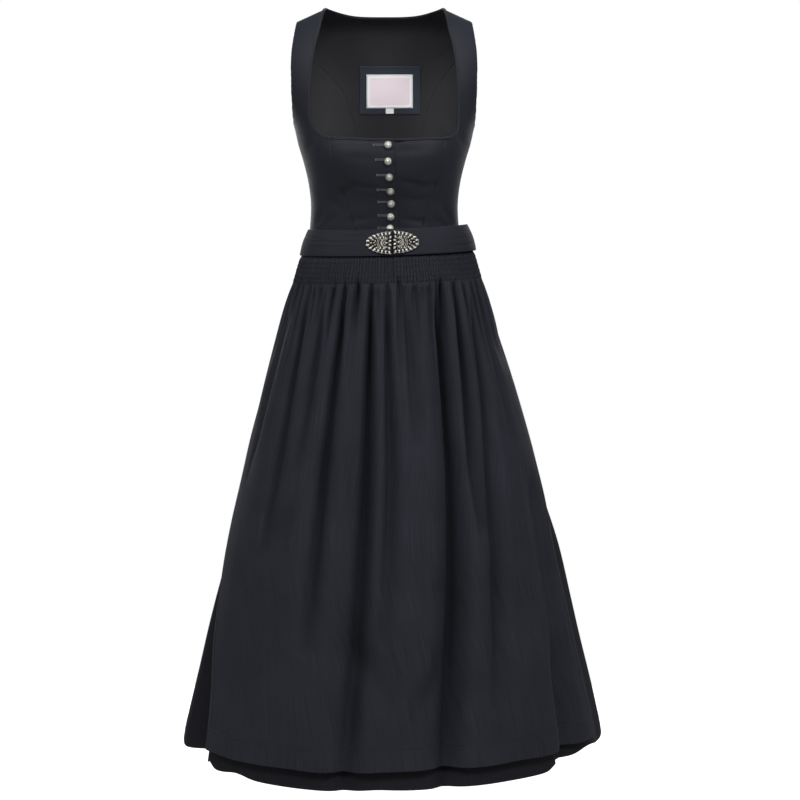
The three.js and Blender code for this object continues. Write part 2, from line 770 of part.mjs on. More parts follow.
// A piece set down on a point of a surface: its +Z along the normal, its +Y as near up as that allows.
function setOn(mesh, point, normal, distance) {
  const across = new THREE.Vector3(0, 0, 1).cross(normal).normalize();
  const up = normal.clone().cross(across);
  mesh.quaternion.setFromRotationMatrix(new THREE.Matrix4().makeBasis(across, up, normal));
  mesh.position.copy(point).addScaledVector(normal, distance);
}

// Bodice.
const bodiceBlue = 0x2b2f38;
const frontRight = frontRightPanel();
const frontLeft = frontLeftPanel();
const sideFrontRight = sideFrontPanel(-1);
const sideFrontLeft = sideFrontPanel(1);
const backCentre = backCentrePanel();
const bodicePanels = {
  front_right: frontRight,
  front_left: frontLeft,
  side_front_right: sideFrontRight,
  side_front_left: sideFrontLeft,
  side_back_right: sideBackPanel(-1),
  side_back_left: sideBackPanel(1),
  back_centre: backCentre,
};
Object.entries(bodicePanels).forEach(([name, { grid, normals }]) => {
  piece(name, clothWall(grid, bodiceWall, normals), cloth(bodiceBlue));
});

// Neckline binding: one strip down each strap and along the front, and one round the back neck.
const bindingBlue = 0x373b44;
piece('neck_binding_right', edgeStrip([
  ...strapNeckPoints(sideFrontRight, -1), ...topRowPoints(frontRight, 0),
]), cloth(bindingBlue));
const firstShown = frontLeft.grid.at(-1).findIndex((point) => point.x > lapEdge(-216) + 2);
piece('neck_binding_left', edgeStrip([
  ...topRowPoints(frontLeft, firstShown),
  ...strapNeckPoints(sideFrontLeft, 1).reverse(),
]), cloth(bindingBlue));
piece('neck_binding_back', edgeStrip(topRowPoints(backCentre, 2, -2), seamGap + 0.5), cloth(bindingBlue));

// Buttons on the right front.
rowsOf(buttonPlaces).forEach(({ x, z }, i) => {
  const { column, row } = placeOnGrid(frontRight.grid, x, z);
  const point = onGrid(frontRight.grid, column, row);
  const normal = onGrid(frontRight.normals, column, row).normalize();
  setOn(piece(`button_${i + 1}`, buttonShape(), silver()), point, normal, seamGap + 0.1);
});

// Inside the back: the patch lies on the panel's inner face, and the labels lie on the patch.
function laidInside(base, { x, z, wide, high }) {
  const places = span(2).map((up) => span(6).map((share) => (
    placeOnGrid(base.grid, x + wide * (0.5 - share), z + high * (up - 0.5)))));
  const normals = places.map((row) => row.map((place) => (
    onGrid(base.normals, place.column, place.row).normalize())));
  const pointsAt = (distance) => places.map((row, r) => row.map((place, c) => (
    onGrid(base.grid, place.column, place.row).addScaledVector(normals[r][c], -distance))));
  const inner = pointsAt(seamGap + trimWall);
  return { geometry: wallBetween(pointsAt(seamGap), inner), grid: inner, normals };
}

const [patchRow, ...labelRows] = rowsOf(labelPieces);
const backInside = {
  grid: moved(backCentre.grid, -bodiceWall, backCentre.normals), normals: backCentre.normals,
};
const patch = laidInside(backInside, patchRow);
piece(patchRow.name, patch.geometry, cloth(bodiceBlue));
labelRows.forEach((row) => piece(row.name, laidInside(patch, row).geometry, cloth(0xd7ced4)));

// Skirt.
const skirtBlack = 0x1b1b20;
[['skirt_front', -90], ['skirt_back', 90]].forEach(([name, startAngle]) => {
  const { grid, normals } = skirtPanel(startAngle);
  piece(name, clothWall(grid, skirtWall, normals), cloth(skirtBlack));
});

// Apron: smocking in two halves that part at the slit, and the apron under them.
const apronBlue = 0x26272e;
const slitAngle = bandAngle(slitX);
const slitHalf = 0.1;
piece('apron_smocking_right', smockingWall(-smockSideAngle, slitAngle - slitHalf), cloth(apronBlue));
piece('apron_smocking_left', smockingWall(slitAngle + slitHalf, smockSideAngle), cloth(apronBlue));
piece('apron', clothWall(apronGrid(), apronWall), cloth(apronBlue));

// Waistband, in two halves that meet under the clasp and at the back.
piece('waistband_right', clothWall(bandGrid(-179.9, slitAngle - slitHalf), bandWall), cloth(0x282930));
piece('waistband_left', clothWall(bandGrid(slitAngle + slitHalf, 179.9), bandWall), cloth(0x282930));

// Clasp: each half a stiff plate that lies on the band at its own middle.
const claspMiddle = 0.53;        // of the band's height down
[['clasp_right', -1], ['clasp_left', 1]].forEach(([name, hand]) => {
  const shape = claspHalf();
  if (hand > 0) shape.rotateZ(Math.PI);
  shape.translate(-hand * claspHalfWidth / 2, 0, 0);
  const angle = bandAngle(slitX + hand * claspHalfWidth / 2);
  const across = bandPoint(angle + 3, claspMiddle).sub(bandPoint(angle - 3, claspMiddle));
  const up = bandPoint(angle, claspMiddle - 0.3).sub(bandPoint(angle, claspMiddle + 0.3));
  const normal = across.cross(up).normalize();
  setOn(piece(name, shape, silver()), bandPoint(angle, claspMiddle), normal, seamGap + 0.2);
});

export default dirndl;
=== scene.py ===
# The finish of a dirndl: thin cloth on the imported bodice, skirt and apron, with its sewing, its
# buttons and its clasp. Tables and sizes are in millimetres and degrees; a mesh is made in metres.
# Up is +Z, the front faces -Y, and +X is the wearer's left.

import bpy
import numpy as np
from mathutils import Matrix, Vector


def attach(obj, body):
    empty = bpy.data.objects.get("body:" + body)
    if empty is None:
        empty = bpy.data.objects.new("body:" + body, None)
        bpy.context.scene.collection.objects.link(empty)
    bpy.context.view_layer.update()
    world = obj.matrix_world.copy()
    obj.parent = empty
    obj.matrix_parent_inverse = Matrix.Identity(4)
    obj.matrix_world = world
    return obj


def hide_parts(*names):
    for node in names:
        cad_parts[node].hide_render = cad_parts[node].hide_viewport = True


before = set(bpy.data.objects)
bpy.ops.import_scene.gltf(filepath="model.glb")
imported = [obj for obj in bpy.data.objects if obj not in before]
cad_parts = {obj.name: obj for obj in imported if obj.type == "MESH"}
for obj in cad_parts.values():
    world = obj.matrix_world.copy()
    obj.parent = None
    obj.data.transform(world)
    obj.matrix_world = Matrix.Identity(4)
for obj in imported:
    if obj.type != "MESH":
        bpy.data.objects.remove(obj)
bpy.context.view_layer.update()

# ---------------------------------------------------------------- sizes that the solids share

seam_gap = 0.3
bodice_wall = 1.8
skirt_wall = 1.4
apron_wall = 1.2
band_wall = 2.0
trim_wall = 1.0

waist_seam = -394
skirt_hem = -1235
apron_hem = -1206
hem_tilt = 4
hem_lift = 15
hem_lift_angle = 67
hem_lift_width = 12
centre_front = 6.7

fullness = 0.8
cup_height = 9
cup_side = 76
cup_level = -248
cup_width = 40
shoulder_slope = 0.45
strap_inside = 98
strap_outside = 147
armhole_bottom = -203
shoulder_seam = 31.8
side = np.inf                 # an edge that lies on the side seam
side_seam_angle = 0.016

band_height = 44
band_top_back = -357
band_dip_front = 8
band_rise_left = 4.5
smock_height = 45
smock_tuck = 4
smock_ribs = 100
smock_rib_height = 1.7
smock_side_angle = 97
slit_x = 14
slit_half = 0.1               # degrees on each side of the slit

gathers_each = 23
apron_clearance = 10

# ---------------------------------------------------------------- sizes of the finish

neck_dip = 4                  # the neckline hangs lower at the button line
hem_fold = 34                 # height of the apron's hem, and of its line of stitches
side_hem = 9                  # width of the apron's side hems
thread = 0.34                 # radius of the sewing thread
apron_cut = 0.88              # metres of cloth gathered into the apron
skirt_cut = 1.24              # metres of cloth gathered into each half of the skirt
rib_lift = 1.35               # the cloth's smocking ribs over the solids' ones

# ---------------------------------------------------------------- small helpers


def table(columns, rows):
    """A table's columns by name, each an array."""
    return dict(zip(columns.split(), np.array(rows, float).T))


def mix(start, end, share):
    """The value at a share of the way from start to end."""
    return start + (end - start) * share


def ease(value):
    """A soft step from 0 to 1: 3v^2 - 2v^3."""
    held = np.clip(value, 0, 1)
    return held * held * (3 - 2 * held)


def bump(distance):
    """A soft hump, 1 at no distance: e^(-d^2)."""
    return np.exp(-distance * distance)


def curve(ways, values, corner=None):
    """A smooth curve through a table's rows: cubic from row to row, with the slope at a row that
    joins the rows on both sides. It may break at one corner row."""
    if corner is not None:
        low = curve(ways[:corner + 1], values[:corner + 1])
        high = curve(ways[corner:], values[corner:])
        return lambda way: np.where(way < ways[corner], low(way), high(way))
    before = np.maximum(np.arange(len(ways)) - 1, 0)
    after = np.minimum(np.arange(len(ways)) + 1, len(ways) - 1)
    slopes = (values[after] - values[before]) / (ways[after] - ways[before])

    def at(way):
        i = np.clip(np.searchsorted(ways, way, side="right"), 1, len(ways) - 1)
        step = ways[i] - ways[i - 1]
        t = np.clip((way - ways[i - 1]) / step, 0, 1)
        rise = values[i] - values[i - 1]
        start, end = slopes[i - 1] * step, slopes[i] * step
        return (values[i - 1] + start * t + (3 * rise - 2 * start - end) * t**2
                + (start + end - 2 * rise) * t**3)

    return at


def curves(rows):
    """Each column of a table as a curve over its first column."""
    ways = next(iter(rows.values()))
    return {name: curve(ways, values) for name, values in rows.items()}


def unit(vectors):
    """Vectors at length 1."""
    return vectors / np.maximum(np.linalg.norm(vectors, axis=-1, keepdims=True), 1e-12)


def xyz(x, y, z):
    """Three arrays as one array of points."""
    return np.stack(np.broadcast_arrays(x, y, z), axis=-1).astype(float)


def shares(count, margin):
    """Shares from 0 to 1 in even steps, with finer ones in a margin at each end for a round edge."""
    ends = margin * np.array([0, 0.12, 0.45])
    return np.concatenate([ends, np.linspace(margin, 1 - margin, count), (1 - ends)[::-1]])


def wander(place, length, seed):
    """A smooth uneven curve from about -1 to 1: three sines of unlike lengths, phases by the seed."""
    phases = np.random.default_rng(seed).uniform(0, 2 * np.pi, 3)
    lengths = length * np.array([1, 0.61, 0.37])
    waves = np.sin(2 * np.pi * np.asarray(place)[..., None] / lengths + phases)
    return waves @ np.array([0.5, 0.3, 0.2])


# ---------------------------------------------------------------- meshes


def quads_of(index):
    """The faces between neighbours of a grid of point numbers."""
    return np.stack([index[:-1, :-1], index[:-1, 1:], index[1:, 1:], index[1:, :-1]], -1).reshape(-1, 4)


def put(name, points, faces, finishes, slot, nodes, uv=None, which=None, marks=None, flat=0):
    """Makes a piece from points in mm and a list of face arrays, and sets it on the frame. uv is a
    place on the flat cloth for each point, which the finish of each face, and marks are further
    values for each point by name. The last faces, as many as flat says, aren't shaded smooth."""
    mesh = bpy.data.meshes.new(f"{name}_finish")
    mesh.from_pydata((points / 1000).tolist(), [], [face for part in faces for face in part.tolist()])
    mesh.polygons.foreach_set("use_smooth", np.arange(len(mesh.polygons)) < len(mesh.polygons) - flat)
    if which is not None:
        mesh.polygons.foreach_set("material_index", which.astype(np.int32))
    if uv is not None:
        corners = np.zeros(len(mesh.loops), np.int32)
        mesh.loops.foreach_get("vertex_index", corners)
        mesh.uv_layers.new(name="cloth").data.foreach_set("uv", uv[corners].astype(np.float32).ravel())
    for mark, values in (marks or {}).items():
        layer = mesh.attributes.new(mark, "FLOAT", "POINT")
        layer.data.foreach_set("value", values.astype(np.float32))
    for finish in finishes:
        mesh.materials.append(finish)
    made = bpy.data.objects.new(mesh.name, mesh)
    bpy.context.scene.collection.objects.link(made)
    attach(made, "root")
    if nodes:
        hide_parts(*nodes)
    return made


def grid_normals(grid):
    """Outward normals of a grid of points: columns run towards the wearer's left in front, rows up."""
    return unit(np.cross(np.gradient(grid, axis=1), np.gradient(grid, axis=0)))


def run_along(grid):
    """Each point's way from the first one along its row."""
    steps = np.linalg.norm(np.diff(grid, axis=1), axis=-1)
    return np.insert(np.cumsum(steps, axis=1), 0, 0, axis=1)


def edge_distance(grid, open_edge=None):
    """Each point's way to the nearest edge of its grid, along its row or its column. The open edge,
    bottom or top, doesn't count."""
    across = run_along(grid)
    up = run_along(grid.swapaxes(0, 1)).T
    ways = {"first": across, "last": across[:, -1:] - across, "bottom": up, "top": up[-1:] - up}
    ways.pop(open_edge, None)
    return np.minimum.reduce(list(ways.values()))


def cloth(name, outer, inner, thickness, normals, uv, finishes, slot, nodes, marks=None,
          open_edge=None):
    """A closed wall of cloth between an outer and an inner grid. Both draw together along the
    edges in a quarter circle as wide as the wall is thick. The second finish is the inner face's."""
    away = 1 - np.clip(edge_distance(outer, open_edge) / thickness, 0, 1)
    drop = 0.42 * thickness * (1 - np.sqrt(1 - away**2))
    face = outer - normals * drop[..., None]
    back = inner + normals * drop[..., None]
    count = drop.size
    index = np.arange(count).reshape(drop.shape)
    border = np.concatenate([index[0], index[1:, -1], index[-1, -2::-1], index[-2:0:-1, 0]])
    following = np.roll(border, -1)
    rim = np.stack([border, border + count, following + count, following], -1)
    front_faces = quads_of(index)
    which = np.zeros(2 * len(front_faces) + len(rim))
    which[len(front_faces):2 * len(front_faces)] = len(finishes) - 1
    points = np.concatenate([face.reshape(-1, 3), back.reshape(-1, 3)])
    doubled = {key: np.tile(values.ravel(), 2) for key, values in (marks or {}).items()}
    return put(name, points, [front_faces, (front_faces + count)[:, ::-1], rim], finishes, slot,
               nodes, np.tile(uv.reshape(-1, 2), (2, 1)), which, doubled, len(rim))


def join(shapes):
    """Several shapes, each points and a list of face arrays, as one."""
    starts = np.cumsum([0] + [len(points) for points, _ in shapes])
    faces = [part + start for start, (_, parts) in zip(starts, shapes) for part in parts]
    return np.concatenate([points for points, _ in shapes]), faces


def sweep(path, normals, profile, closed=False, size=1.0):
    """A closed profile carried along a path. A point is the path's point plus the profile's first
    value along the side (the tangent crossed with the normal) and its second along the normal,
    both times the size there. An open path ends in flat caps."""
    ahead = np.roll(path, -1, axis=0) - np.roll(path, 1, axis=0) if closed else np.gradient(path, axis=0)
    across = unit(np.cross(ahead, normals))
    scale = np.broadcast_to(size, len(path))[:, None, None]
    rings = (path[:, None] + scale * (profile[None, :, :1] * across[:, None]
                                      + profile[None, :, 1:] * normals[:, None]))
    index = np.arange(rings.shape[0] * rings.shape[1]).reshape(rings.shape[:2])
    index = np.concatenate([index, index[:, :1]], axis=1)
    if closed:
        index = np.concatenate([index, index[:1]])
    faces = [quads_of(index.T)]
    if not closed:
        faces += [index[:1, :-1], index[-1:, -2::-1]]
    return rings.reshape(-1, 3), faces


def oval(wide, high, count):
    """A closed oval profile, counterclockwise."""
    turn = np.linspace(0, 2 * np.pi, count, endpoint=False)
    return np.stack([wide / 2 * np.cos(turn), high / 2 * np.sin(turn)], -1)


def beads(centres, turns, long, wide, high, taper=0.0, rings=5, sides=10):
    """Drop beads that lie on z = 0 turned about +Z. Along a bead s runs from 0 at its tip to pi:
    x = -long/2 cos s, its half width wide/2 sin s (1 - taper cos s), and z is high times that share."""
    s = np.linspace(0, np.pi, rings + 2)[1:-1, None]
    turn = np.linspace(0, 2 * np.pi, sides, endpoint=False)[None]
    share = np.sin(s) * (1 - taper * np.cos(s))
    body = xyz(-np.cos(s) / 2, share * np.cos(turn) / 2, share * np.sin(turn)).reshape(-1, 3)
    one = np.concatenate([[[-0.5, 0, 0]], body, [[0.5, 0, 0]]])
    sized = one[None] * np.stack(np.broadcast_arrays(long, wide, high), -1).reshape(-1, 1, 3)
    c, n = np.cos(turns)[:, None], np.sin(turns)[:, None]
    points = xyz(sized[..., 0] * c - sized[..., 1] * n, sized[..., 0] * n + sized[..., 1] * c,
                 sized[..., 2]) + centres[:, None]
    index = 1 + np.arange(rings * sides).reshape(rings, sides)
    index = np.concatenate([index, index[:, :1]], axis=1)
    last = rings * sides + 1
    tip = np.stack([np.zeros(sides, int), index[0, 1:], index[0, :-1]], -1)
    tail = np.stack([np.full(sides, last), index[-1, :-1], index[-1, 1:]], -1)
    starts = (np.arange(len(points)) * (last + 1))[:, None, None]
    faces = [(starts + part).reshape(-1, part.shape[1]) for part in (quads_of(index), tip, tail)]
    return points.reshape(-1, 3), faces


def turned(rings):
    """A closed turned shape from rings of points about an axis, bottom to top. The first and last
    rings are single points."""
    rows, sides = rings.shape[:2]
    index = 1 + np.arange((rows - 2) * sides).reshape(rows - 2, sides)
    index = np.concatenate([index, index[:, :1]], axis=1)
    last = (rows - 2) * sides + 1
    bottom = np.stack([np.zeros(sides, int), index[0, 1:], index[0, :-1]], -1)
    top = np.stack([np.full(sides, last), index[-1, :-1], index[-1, 1:]], -1)
    points = np.concatenate([rings[0, :1], rings[1:-1].reshape(-1, 3), rings[-1, :1]])
    return points, [quads_of(index), bottom, top]


def resample(path, normals, pitch):
    """A path and its normals at even steps of about the pitch."""
    run = np.insert(np.cumsum(np.linalg.norm(np.diff(path, axis=0), axis=-1)), 0, 0)
    even = np.linspace(0, run[-1], max(int(round(run[-1] / pitch)), 2) + 1)
    at = lambda values: np.stack([np.interp(even, run, values[:, k]) for k in range(3)], -1)
    return at(path), unit(at(normals))


def stitches(path, normals, pitch=3.2, long=2.3, lift=0.12, radius=thread):
    """A row of stitches along a path: between each two holes one thread, an arc that rises from
    the cloth and goes back in, of five rings."""
    points, ups = resample(path, normals, pitch)
    middle = (points[1:] + points[:-1]) / 2
    along = unit(points[1:] - points[:-1])
    up = unit(ups[1:] + ups[:-1])
    across = np.cross(along, up)
    t = np.linspace(-1, 1, 5)[None, :, None, None]
    turn = np.linspace(0, 2 * np.pi, 6, endpoint=False)[None, None, :, None]
    lane = [v[:, None, None] for v in (middle, along, up, across)]
    thick = radius * np.sqrt(1 - 0.6 * t**2)
    rings = (lane[0] + lane[1] * t * long / 2 + lane[2] * (lift + radius * 1.1 * (1 - 1.5 * t**2))
             + thick * (lane[3] * np.cos(turn) + lane[2] * np.sin(turn)))
    index = np.arange(30).reshape(5, 6)
    index = np.concatenate([index, index[:, :1]], axis=1)
    starts = (np.arange(len(middle)) * 30)[:, None, None]
    parts = [quads_of(index.T), index[:1, :-1], index[-1:, -2::-1]]
    return rings.reshape(-1, 3), [(starts + part).reshape(-1, part.shape[1]) for part in parts]


# ---------------------------------------------------------------- finishes


def linear(colour):
    """An sRGB hex colour as linear red, green, blue and alpha."""
    values = np.array([int(colour[k:k + 2], 16) for k in (1, 3, 5)]) / 255
    values = np.where(values <= 0.04045, values / 12.92, ((values + 0.055) / 1.055) ** 2.4)
    return (*values.tolist(), 1.0)


def add(finish, kind, inputs=(), **settings):
    """Adds a node. Inputs are values for its sockets or the sockets that feed them, by name or
    number, and settings are its own properties."""
    node = finish.node_tree.nodes.new("ShaderNode" + kind)
    for name, value in settings.items():
        setattr(node, name, value)
    for name, value in dict(inputs).items():
        if isinstance(value, bpy.types.NodeSocket):
            finish.node_tree.links.new(value, node.inputs[name])
        else:
            node.inputs[name].default_value = value
    return node.outputs


def blank(name):
    """A new finish, and its shader's node to be set and linked."""
    finish = bpy.data.materials.new(name)
    finish.use_nodes = True
    return finish, finish.node_tree.nodes["Principled BSDF"]


def wave_scale(pitch):
    """The Wave Texture's scale for stripes a pitch in millimetres apart on coordinates in metres."""
    return 2 * np.pi / 20 / (pitch / 1000)


def woven(name, dark, light, pitch, depth, streak=(1.2, 60, 0.25), patchy=0.35, rough=0.85,
          sheen=0.15, gloss=0.3, painted_fold_shade=0.0):
    """Woven cloth between two shades: threads a pitch apart both ways, streaks of thicker yarn of a width
    and length in mm and a strength, and a patchy shade over about 100 mm. The hollows of folds, which a
    mark gives, are darkened towards near-black by painted shade, as strongly as painted_fold_shade says."""
    finish, shader = blank(name)
    place = add(finish, "UVMap", uv_map="cloth")["UV"]
    warp = add(finish, "TexWave", {"Vector": place, "Scale": wave_scale(pitch), "Distortion": 0.4},
               bands_direction="X")["Fac"]
    weft = add(finish, "TexWave", {"Vector": place, "Scale": wave_scale(pitch), "Distortion": 0.4},
               bands_direction="Y")["Fac"]
    wide, long, strength = streak
    drawn = add(finish, "Mapping", {"Vector": place, "Scale": (1000 / wide, 1000 / long, 1)})["Vector"]
    slub = add(finish, "TexNoise", {"Vector": drawn, "Scale": 1.0, "Detail": 3.0, "Roughness": 0.6})["Fac"]
    own = add(finish, "TexCoord")["Object"]
    patch = add(finish, "TexNoise", {"Vector": own, "Scale": 10.0, "Detail": 2.0})["Fac"]
    slubbed = add(finish, "Math", {0: slub, 1: 0.5}, operation="SUBTRACT")[0]
    slubbed = add(finish, "Math", {0: slubbed, 1: strength * 4, 2: 0.5}, operation="MULTIPLY_ADD")[0]
    shade = add(finish, "Math", {0: patch, 1: patchy, 2: -patchy / 2}, operation="MULTIPLY_ADD")[0]
    shade = add(finish, "Math", {0: shade, 1: slubbed}, operation="ADD", use_clamp=True)[0]
    colour = add(finish, "Mix", {"Factor": shade, 6: linear(dark), 7: linear(light)}, data_type="RGBA")[2]
    threads = add(finish, "Math", {0: warp, 1: weft}, operation="ADD")[0]
    height = add(finish, "Math", {0: slubbed, 1: 1.2, 2: threads}, operation="MULTIPLY_ADD")[0]
    relief = add(finish, "Bump", {"Strength": 0.6, "Distance": depth / 1000, "Height": height})["Normal"]
    # Painted shade: the mark mixes the hollows of folds towards near-black.
    if painted_fold_shade:
        hollow = add(finish, "Attribute", attribute_name="hollow")["Fac"]
        kept = add(finish, "Math", {0: hollow, 1: painted_fold_shade}, operation="MULTIPLY")[0]
        colour = add(finish, "Mix", {"Factor": kept, 6: colour, 7: linear("#020203")}, data_type="RGBA")[2]
    finish.node_tree.links.new(colour, shader.inputs["Base Color"])
    finish.node_tree.links.new(relief, shader.inputs["Normal"])
    shader.inputs["Roughness"].default_value = rough
    shader.inputs["Specular IOR Level"].default_value = gloss
    shader.inputs["Sheen Weight"].default_value = sheen
    shader.inputs["Sheen Roughness"].default_value = 0.5
    shader.inputs["Sheen Tint"].default_value = linear("#5a6272")
    return finish


def sewing_thread(name, colour):
    """Twisted polyester thread, a little glossier than the cloth."""
    finish, shader = blank(name)
    own = add(finish, "TexCoord")["Object"]
    grain = add(finish, "TexNoise", {"Vector": own, "Scale": 900.0})["Fac"]
    relief = add(finish, "Bump", {"Strength": 0.4, "Distance": 0.0001, "Height": grain})["Normal"]
    finish.node_tree.links.new(relief, shader.inputs["Normal"])
    shader.inputs["Base Color"].default_value = linear(colour)
    shader.inputs["Roughness"].default_value = 0.55
    return finish


def antique_silver():
    """Cast silver-plated metal, blackened and rubbed: the raised parts are bright and satin, and
    the hollows keep a brown-black oxide. The mark says how deep in a hollow a point lies."""
    finish, shader = blank("antique silver, cast and oxidised")
    own = add(finish, "TexCoord")["Object"]
    grain = add(finish, "TexNoise", {"Vector": own, "Scale": 700.0, "Detail": 3.0})["Fac"]
    deep = add(finish, "Attribute", attribute_name="hollow")["Fac"]
    uneven = add(finish, "Math", {0: grain, 1: 0.5, 2: -0.25}, operation="MULTIPLY_ADD")[0]
    black = add(finish, "Math", {0: deep, 1: uneven}, operation="ADD", use_clamp=True)[0]
    colour = add(finish, "Mix", {"Factor": black, 6: linear("#e2dfd6"), 7: linear("#0c0b0a")},
                 data_type="RGBA")[2]
    dull = add(finish, "Math", {0: black, 1: 0.35, 2: 0.3}, operation="MULTIPLY_ADD")[0]
    relief = add(finish, "Bump", {"Strength": 0.25, "Distance": 0.0002, "Height": grain})["Normal"]
    finish.node_tree.links.new(colour, shader.inputs["Base Color"])
    finish.node_tree.links.new(dull, shader.inputs["Roughness"])
    finish.node_tree.links.new(relief, shader.inputs["Normal"])
    shader.inputs["Metallic"].default_value = 0.75
    return finish


def label_cloth(name, middle, border, width):
    """Woven satin label: fine cross ribs, a plain middle and a border a width in mm wide."""
    finish, shader = blank(name)
    place = add(finish, "UVMap", uv_map="cloth")["UV"]
    ribs = add(finish, "TexWave", {"Vector": place, "Scale": wave_scale(0.8)}, bands_direction="Y")["Fac"]
    edge = add(finish, "Attribute", attribute_name="edge")["Fac"]
    outside = add(finish, "Math", {0: edge, 1: width}, operation="LESS_THAN")[0]
    colour = add(finish, "Mix", {"Factor": outside, 6: linear(middle), 7: linear(border)},
                 data_type="RGBA")[2]
    relief = add(finish, "Bump", {"Strength": 0.3, "Distance": 0.0001, "Height": ribs})["Normal"]
    finish.node_tree.links.new(colour, shader.inputs["Base Color"])
    finish.node_tree.links.new(relief, shader.inputs["Normal"])
    shader.inputs["Roughness"].default_value = 0.6
    return finish


# Cotton satin with a little stretch: smooth, a faint blue bloom where it turns to the light. The
# thread pitch is three times the real one, so that it shows.
bodice_finish = woven("navy cotton satin", "#14161b", "#252830", 1.0, 0.06, (1.4, 22, 0.10), 0.5,
                      rough=0.6, sheen=0.12, gloss=0.14)
# The narrow strip along the neckline is cut from the same cloth. Its shades are a little darker than the
# bodice's: painted shade, so that the flat strip doesn't read lighter.
binding_finish = woven("navy cotton satin strip", "#121418", "#1f2229", 1.0, 0.06, (1.4, 22, 0.10),
                       0.4, rough=0.7, sheen=0.08, gloss=0.1)
# Plain lining twill, a warmer charcoal.
lining_finish = woven("charcoal lining twill", "#262528", "#323134", 0.9, 0.05, (1.0, 30, 0.08),
                      0.3, rough=0.8, sheen=0.04, gloss=0.1)
# Cotton and linen with slubs: fine upright streaks of thicker yarn, matt. Painted shade darkens the
# hollows of its folds, gathers and smocking.
apron_finish = woven("charcoal slub linen", "#16181d", "#30323a", 1.1, 0.10, (1.3, 90, 0.30), 0.5,
                     rough=0.82, sheen=0.05, gloss=0.1, painted_fold_shade=0.75)
# The skirt under the apron is a plain near-black cotton, with a weaker painted shade in the hollows of its
# folds.
skirt_finish = woven("black plain cotton", "#17171b", "#26262b", 1.0, 0.07, (1.4, 60, 0.14), 0.4,
                     rough=0.88, sheen=0.05, gloss=0.06, painted_fold_shade=0.4)
# The patch behind the label is the bodice's satin.
patch_finish = woven("navy cotton satin patch", "#2a2e35", "#3a3f49", 1.0, 0.06, (1.4, 22, 0.10), 0.4,
                     gloss=0.1)
# The waistband is the apron's cloth laid double, its streaks across the wearer.
band_finish = woven("charcoal slub linen, doubled", "#15161a", "#2b2c34", 1.1, 0.10, (1.3, 90, 0.22),
                    0.5, rough=0.8, sheen=0.08, gloss=0.1)
dark_thread = sewing_thread("navy polyester thread", "#2c3038")
apron_thread = sewing_thread("charcoal polyester thread", "#222429")
light_thread = sewing_thread("grey polyester thread", "#484b54")
hole_thread = sewing_thread("grey buttonhole twist", "#60636c")
# Painted shade: near-black slivers and cores laid in the buttonhole slits and the seams, where the cloth
# is only in shadow.
painted_gap_shade = sewing_thread("painted shade inside a slit or seam", "#0b0c0e")
silver_finish = antique_silver()
label_finish = label_cloth("pale pink satin label", "#f6e7ee", "#fdfcfd", 5.5)
tab_finish = label_cloth("white satin tab", "#f4f3f3", "#f4f3f3", 0.4)

# ---------------------------------------------------------------- camera, floor and light


def studio():
    """The camera, a round pale floor well under the hem, and soft light from both sides, the front
    and the back. The camera sees plain white behind and a brighter floor, which light nothing."""
    camera = bpy.data.objects.new("camera", bpy.data.cameras.new("camera"))
    bpy.context.scene.collection.objects.link(camera)
    camera.location = (0.02635, -3.0, -0.4814)
    camera.rotation_euler = (np.radians(90 - 3.2433), 0, 0)
    camera.data.lens = 79.4
    camera.data.sensor_width = 36
    bpy.context.scene.camera = camera

    floor_mesh = bpy.data.meshes.new("floor")
    turn = np.linspace(0, 2 * np.pi, 128, endpoint=False)
    floor_mesh.from_pydata(xyz(1.7 * np.cos(turn), 1.7 * np.sin(turn), -1.5).tolist(), [],
                           [list(range(128))])
    floor = bpy.data.objects.new("floor", floor_mesh)
    bpy.context.scene.collection.objects.link(floor)
    paper, shader = blank("white studio paper")
    shader.inputs["Base Color"].default_value = linear("#fafafa")
    shader.inputs["Roughness"].default_value = 0.9
    shader.inputs["Specular IOR Level"].default_value = 0.1
    shader.inputs["Emission Color"].default_value = (1, 1, 1, 1)
    seen = add(paper, "LightPath")["Is Camera Ray"]
    glow = add(paper, "Math", {0: seen, 1: 0.45}, operation="MULTIPLY")[0]
    paper.node_tree.links.new(glow, shader.inputs["Emission Strength"])
    floor_mesh.materials.append(paper)

    world = bpy.data.worlds.new("studio")
    world.use_nodes = True
    light = world.node_tree.nodes["Background"]
    seen = add(world, "Background", {"Color": (1, 1, 1, 1), "Strength": 1.0})[0]
    light.inputs["Color"].default_value = (1, 1, 1, 1)
    light.inputs["Strength"].default_value = 0.22
    direct = add(world, "LightPath")["Is Camera Ray"]
    shown = add(world, "MixShader", {0: direct, 1: light.outputs[0], 2: seen})[0]
    world.node_tree.links.new(shown, world.node_tree.nodes["World Output"].inputs["Surface"])
    bpy.context.scene.world = world

    lamps = table("x y z size watts", [
        [-1.0, -1.2, 1.0, 0.7, 21],
        [1.05, -1.2, 1.05, 0.7, 26],
        [0.1, -1.7, 1.2, 0.7, 17],
        [1.4, 3.0, 0.8, 1.6, 50],
        [-1.6, 2.8, 0.5, 1.6, 40],
    ])
    for i in range(len(lamps["x"])):
        lamp = bpy.data.lights.new(f"softbox_{i + 1}", "AREA")
        lamp.size = lamps["size"][i]
        lamp.energy = lamps["watts"][i]
        holder = bpy.data.objects.new(lamp.name, lamp)
        holder.location = [lamps[axis][i] for axis in "xyz"]
        bpy.context.scene.collection.objects.link(holder)
        towards = Vector((0, 0, -0.1)) - holder.location
        holder.rotation_euler = towards.to_track_quat("-Z", "Y").to_euler()
    bpy.context.scene.view_settings.view_transform = "Standard"


studio()

# ---------------------------------------------------------------- bodice

